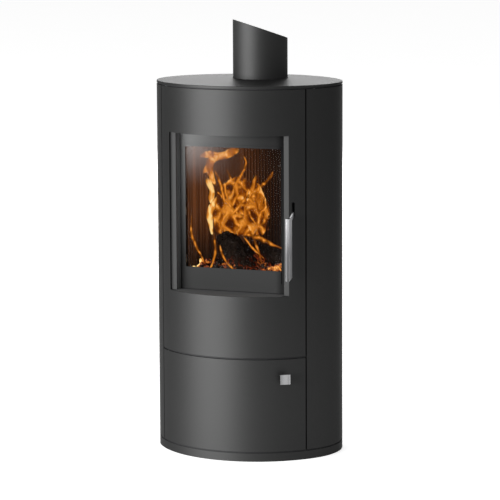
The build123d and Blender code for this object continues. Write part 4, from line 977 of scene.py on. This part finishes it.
def tongue(name, finish, behind, path):
    """A ribbon at one depth; each stop on its path is (across, above, width) in millimetres."""
    middles = [hearth(across, behind, above) for across, above, _ in path]
    widths = [width / 1000 for _, _, width in path]
    leads = [middles[min(i + 1, len(path) - 1)] - middles[max(i - 1, 0)] for i in range(len(path))]
    turns = [math.atan2(lead.x, lead.z) for lead in leads]
    start_fresh()
    bpy.ops.mesh.primitive_plane_add(size=1)
    piece = bpy.context.object
    bpy.ops.object.mode_set(mode="EDIT")
    bpy.ops.mesh.select_mode(type="VERT")

    def pick(wanted):
        bpy.ops.mesh.select_all(action="DESELECT")
        mesh = bmesh.from_edit_mesh(piece.data)
        for vert in mesh.verts:
            if vert.index in wanted:
                vert.select_set(True)
        mesh.select_flush(True)
        bmesh.update_edit_mesh(piece.data)

    def lay(here, there, grow, turn):
        """Carry the picked edge to its place, make it as wide as it should be and turn it."""
        bpy.ops.transform.translate(value=there - here)
        bpy.ops.transform.resize(value=(grow, grow, grow), center_override=there)
        bpy.ops.transform.rotate(value=-turn, orient_axis="Y", center_override=there)

    pick({0, 1})
    lay(Vector((0, -0.5, 0)), middles[0], widths[0], turns[0])
    pick({2, 3})
    lay(Vector((0, 0.5, 0)), middles[1], widths[1], turns[1])
    for i in range(2, len(path)):
        bpy.ops.mesh.extrude_edges_move()
        lay(middles[i - 1], middles[i], widths[i] / widths[i - 1], turns[i] - turns[i - 1])
    bpy.ops.object.mode_set(mode="OBJECT")
    ribbon = piece.data.uv_layers.new(name="ribbon")
    for loop in piece.data.loops:
        ring, side = divmod(loop.vertex_index, 2)
        ribbon.data[loop.index].uv = (side, ring / (len(path) - 1))
    use("SUBSURF", levels=4, render_levels=4)
    flicker = {"texture": relief_flicker, "texture_coords": "GLOBAL", "direction": "Y"}
    use("DISPLACE", **flicker, strength=flicker_reach, mid_level=0.5)
    bpy.ops.object.shade_smooth()
    return settle(name, finish)


print("tongues flicker by", flicker_reach * 1000, "mm")

# %% [markdown]
# ## The fire
# Four broad sheets make its body, and narrow licks cross them, drip over the logs and rise into a pale
# plume. Each has a finish, a depth behind the stove's middle and a path of listed stops.
# %% Every tongue of this fire
fire = {
    "flame_sheet": (flame_deep, 45, [
        (-30, 84, 116), (-31, 112, 148), (-33, 142, 156), (-34, 170, 150), (-31, 196, 130), (-30, 222, 100),
        (-30, 246, 64)]),
    "flame_body_deep": (flame_veil, 25, [
        (-45, 86, 90), (-45, 120, 124), (-38, 158, 118), (-32, 196, 96), (-29, 226, 60), (-20, 258, 9)]),
    "flame_body": (flame_veil, -20, [
        (-62, 92, 60), (-60, 128, 92), (-57, 162, 98), (-53, 194, 92), (-43, 222, 76), (-30, 242, 46),
        (-18, 262, 9)]),
    "flame_right": (flame_veil, 10, [
        (18, 90, 32), (19, 122, 64), (15, 154, 74), (18, 183, 66), (15, 208, 50), (14, 236, 28),
        (18, 268, 5)]),
    "flame_tongue": (flame_lick, 5, [
        (0, 190, 20), (12, 211, 17), (31, 231, 14), (50, 250, 11), (60, 262, 14), (68, 278, 3)]),
    "flame_plume": (flame_plume, -55, [
        (-78, 236, 6), (-88, 258, 18), (-93, 282, 26), (-94, 302, 28), (-84, 317, 32), (-62, 317, 26),
        (-44, 322, 24), (-27, 334, 30), (-8, 342, 16)]),
    "flame_plume_tip": (flame_plume, -52, [(-70, 314, 18), (-92, 322, 28), (-112, 321, 17), (-128, 313, 4)]),
    "flame_spur": (flame_plume, -50, [(-86, 300, 22), (-104, 284, 20), (-116, 268, 5)]),
    "flame_pale": (flame_core, -48, [
        (-93, 184, 5), (-97, 205, 22), (-92, 222, 15), (-99, 237, 23), (-104, 260, 18)]),
    "flame_strand": (flame_lick, -45, [
        (-56, 172, 14), (-60, 204, 15), (-66, 230, 12), (-72, 254, 12), (-84, 282, 8)]),
    "flame_low_left": (flame_core, -60, [
        (-87, 100, 6), (-92, 128, 15), (-97, 158, 22), (-88, 186, 18), (-74, 210, 5)]),
    "flame_fork_left": (flame_lick, -40, [(-84, 220, 7), (-56, 193, 13), (-28, 170, 12), (-2, 146, 7)]),
    "flame_fork_right": (flame_lick, -40, [(15, 234, 7), (1, 196, 13), (-25, 170, 13), (-50, 142, 7)]),
    "flame_loop": (flame_lick, -35, [
        (2, 192, 7), (13, 158, 12), (28, 134, 12), (50, 131, 15), (61, 155, 13), (72, 194, 6)]),
    "flame_thread": (flame_lick, 0, [
        (-44, 222, 16), (-31, 255, 12), (-16, 275, 10), (-9, 294, 11), (-20, 318, 4)]),
    "flame_spike": (flame_lick, -10, [(-36, 216, 18), (-51, 246, 12), (-66, 280, 4)]),
    "flame_crescent": (flame_lick, -90, [
        (-98, 26, 6), (-112, 52, 10), (-130, 82, 11), (-139, 118, 10), (-135, 164, 4)]),
    "flame_leaf": (flame_lick, 0, [(-14, 99, 8), (18, 95, 20), (46, 82, 17), (71, 71, 11), (102, 64, 4)]),
    "flame_drip_left": (flame_lick, -70, [(-86, 12, 5), (-77, 44, 9), (-72, 80, 10), (-84, 122, 6)]),
    "flame_drip_low": (flame_lick, -86, [(-88, 6, 6), (-72, 34, 9), (-66, 70, 4)]),
    "flame_drip_middle": (flame_lick, -88, [(-6, 10, 6), (-32, 30, 10), (-49, 53, 9), (-54, 84, 4)]),
    "flame_drip_right": (flame_lick, -40, [(48, 26, 8), (38, 64, 10), (27, 92, 10), (18, 120, 6)]),
    "flame_curl_right": (flame_lick, -45, [(58, 40, 5), (34, 60, 8), (12, 84, 8), (-2, 104, 5)]),
}
for name, (finish, behind, path) in fire.items():
    tongue(name, finish, behind, path)
print(len(fire), "tongues of flame")

# %% [markdown]
# ## Firelight
# The flames' own glow is too weak to light the chamber, so a small warm lamp stands in for it. It
# is kept low, so that the studio's light is still the one that shows the stove.
# %% A warm lamp in the chamber
fire_power = 0.06
fire_glow = bpy.data.lights.new("fire_glow", "POINT")
fire_glow.energy = fire_power
fire_glow.color = (1.0, 0.42, 0.12)
fire_glow.shadow_soft_size = 0.04
fire_lamp = bpy.data.objects.new("fire_glow", fire_glow)
fire_lamp.location = hearth(-30, -10, 150)
fire_lamp.visible_camera = False
bpy.context.scene.collection.objects.link(fire_lamp)
print("fire lamp at", [round(v, 3) for v in fire_lamp.location])

# %% [markdown]
# ## Studio
# The floor and the surroundings are plain white to the eye, while the light that falls on the
# stove stays at a moderate level, so that its greys come out as they were mixed. The world is
# white only for what the camera, a reflection or the glass sees. A wide, low soft box far off to
# the left front draws the long highlight down the round door, and weaker ones fill the other sides.
# %% Surroundings
world_seen = (1.0, 1.0, 1.0)
world_lighting = (0.42, 0.42, 0.42)


class Surroundings(Finish):
    """The world's nodes, mixed as a finish is."""

    def __init__(self, name):
        self.material = bpy.data.worlds.new(name)
        self.material.use_nodes = True
        self.nodes = self.material.node_tree.nodes
        self.links = self.material.node_tree.links
        self.shader = self.nodes["Background"]


def white_to_the_eye(finish):
    """1 for what the camera, a reflection or the glass sees, and 0 for the light on the stove."""
    seen = finish.node("ShaderNodeLightPath", output="Is Camera Ray")
    mirrored = finish.node("ShaderNodeLightPath", output="Is Glossy Ray")
    through = finish.node("ShaderNodeLightPath", output="Is Transmission Ray")
    return seen.most(mirrored).most(through)


studio = Surroundings("studio")
studio_color = studio.mixed(white_to_the_eye(studio), world_lighting, world_seen)
bpy.context.scene.world = studio.set(Color=studio_color, Strength=1.0)
print("the world gives", world_lighting[0], "of white and looks white")

# %% A pale floor
floor_size = 60
floor_dark = (0.78, 0.78, 0.78)
floor_light = (0.80, 0.80, 0.80)
floor_glow = (0.62, 0.62, 0.62)
start_fresh()
bpy.ops.mesh.primitive_plane_add(size=floor_size, location=(0, 0, 0))
floor = bpy.context.object
floor.name = "floor"
floor_finish = Finish("floor_white", Roughness=0.9, Specular_IOR_Level=0.0, Emission_Strength=1.0)
floor_patch = floor_finish.noise(floor_finish.place(), 2.0, detail=2)
floor.data.materials.append(floor_finish.set(
    Base_Color=floor_finish.mixed(floor_patch, floor_dark, floor_light),
    Emission_Color=floor_finish.mixed(white_to_the_eye(floor_finish), (0, 0, 0), floor_glow),
))
print(floor.name, "is", floor_size, "m wide")

# %% [markdown]
# ## Soft boxes
# A lamp is placed as one asks for it in a studio: on a bearing round the stove, so high over the
# horizon and so far away. Its power grows with its area, so that its radiance, the light it shows
# in a reflection, can be set by itself.
# %% Soft boxes
def soft_box(name, bearing, rise, distance, width, height, radiance, aim=(0, 0, 0.6)):
    """An area light on a bearing round the stove, in degrees from its front towards its handle side."""
    data = bpy.data.lights.new(name, "AREA")
    data.shape = "RECTANGLE"
    data.size = width
    data.size_y = height
    data.energy = radiance * math.pi * width * height
    lamp = bpy.data.objects.new(name, data)
    lamp.visible_camera = False
    bpy.context.scene.collection.objects.link(lamp)
    flat = distance * math.cos(math.radians(rise))
    turn = math.radians(bearing)
    spot = Vector((flat * math.sin(turn), -flat * math.cos(turn), distance * math.sin(math.radians(rise))))
    lamp.location = spot + Vector(aim)
    lamp.rotation_euler = (Vector(aim) - lamp.location).to_track_quat("-Z", "Y").to_euler()
    return lamp


soft_box("key", bearing=-33, rise=4, distance=16.0, width=15.0, height=3.4, radiance=49.0)
soft_box("fill_back", bearing=205, rise=20, distance=7.0, width=5.0, height=4.0, radiance=5.0)
soft_box("overhead", bearing=-20, rise=78, distance=5.0, width=3.6, height=3.6, radiance=0.6)
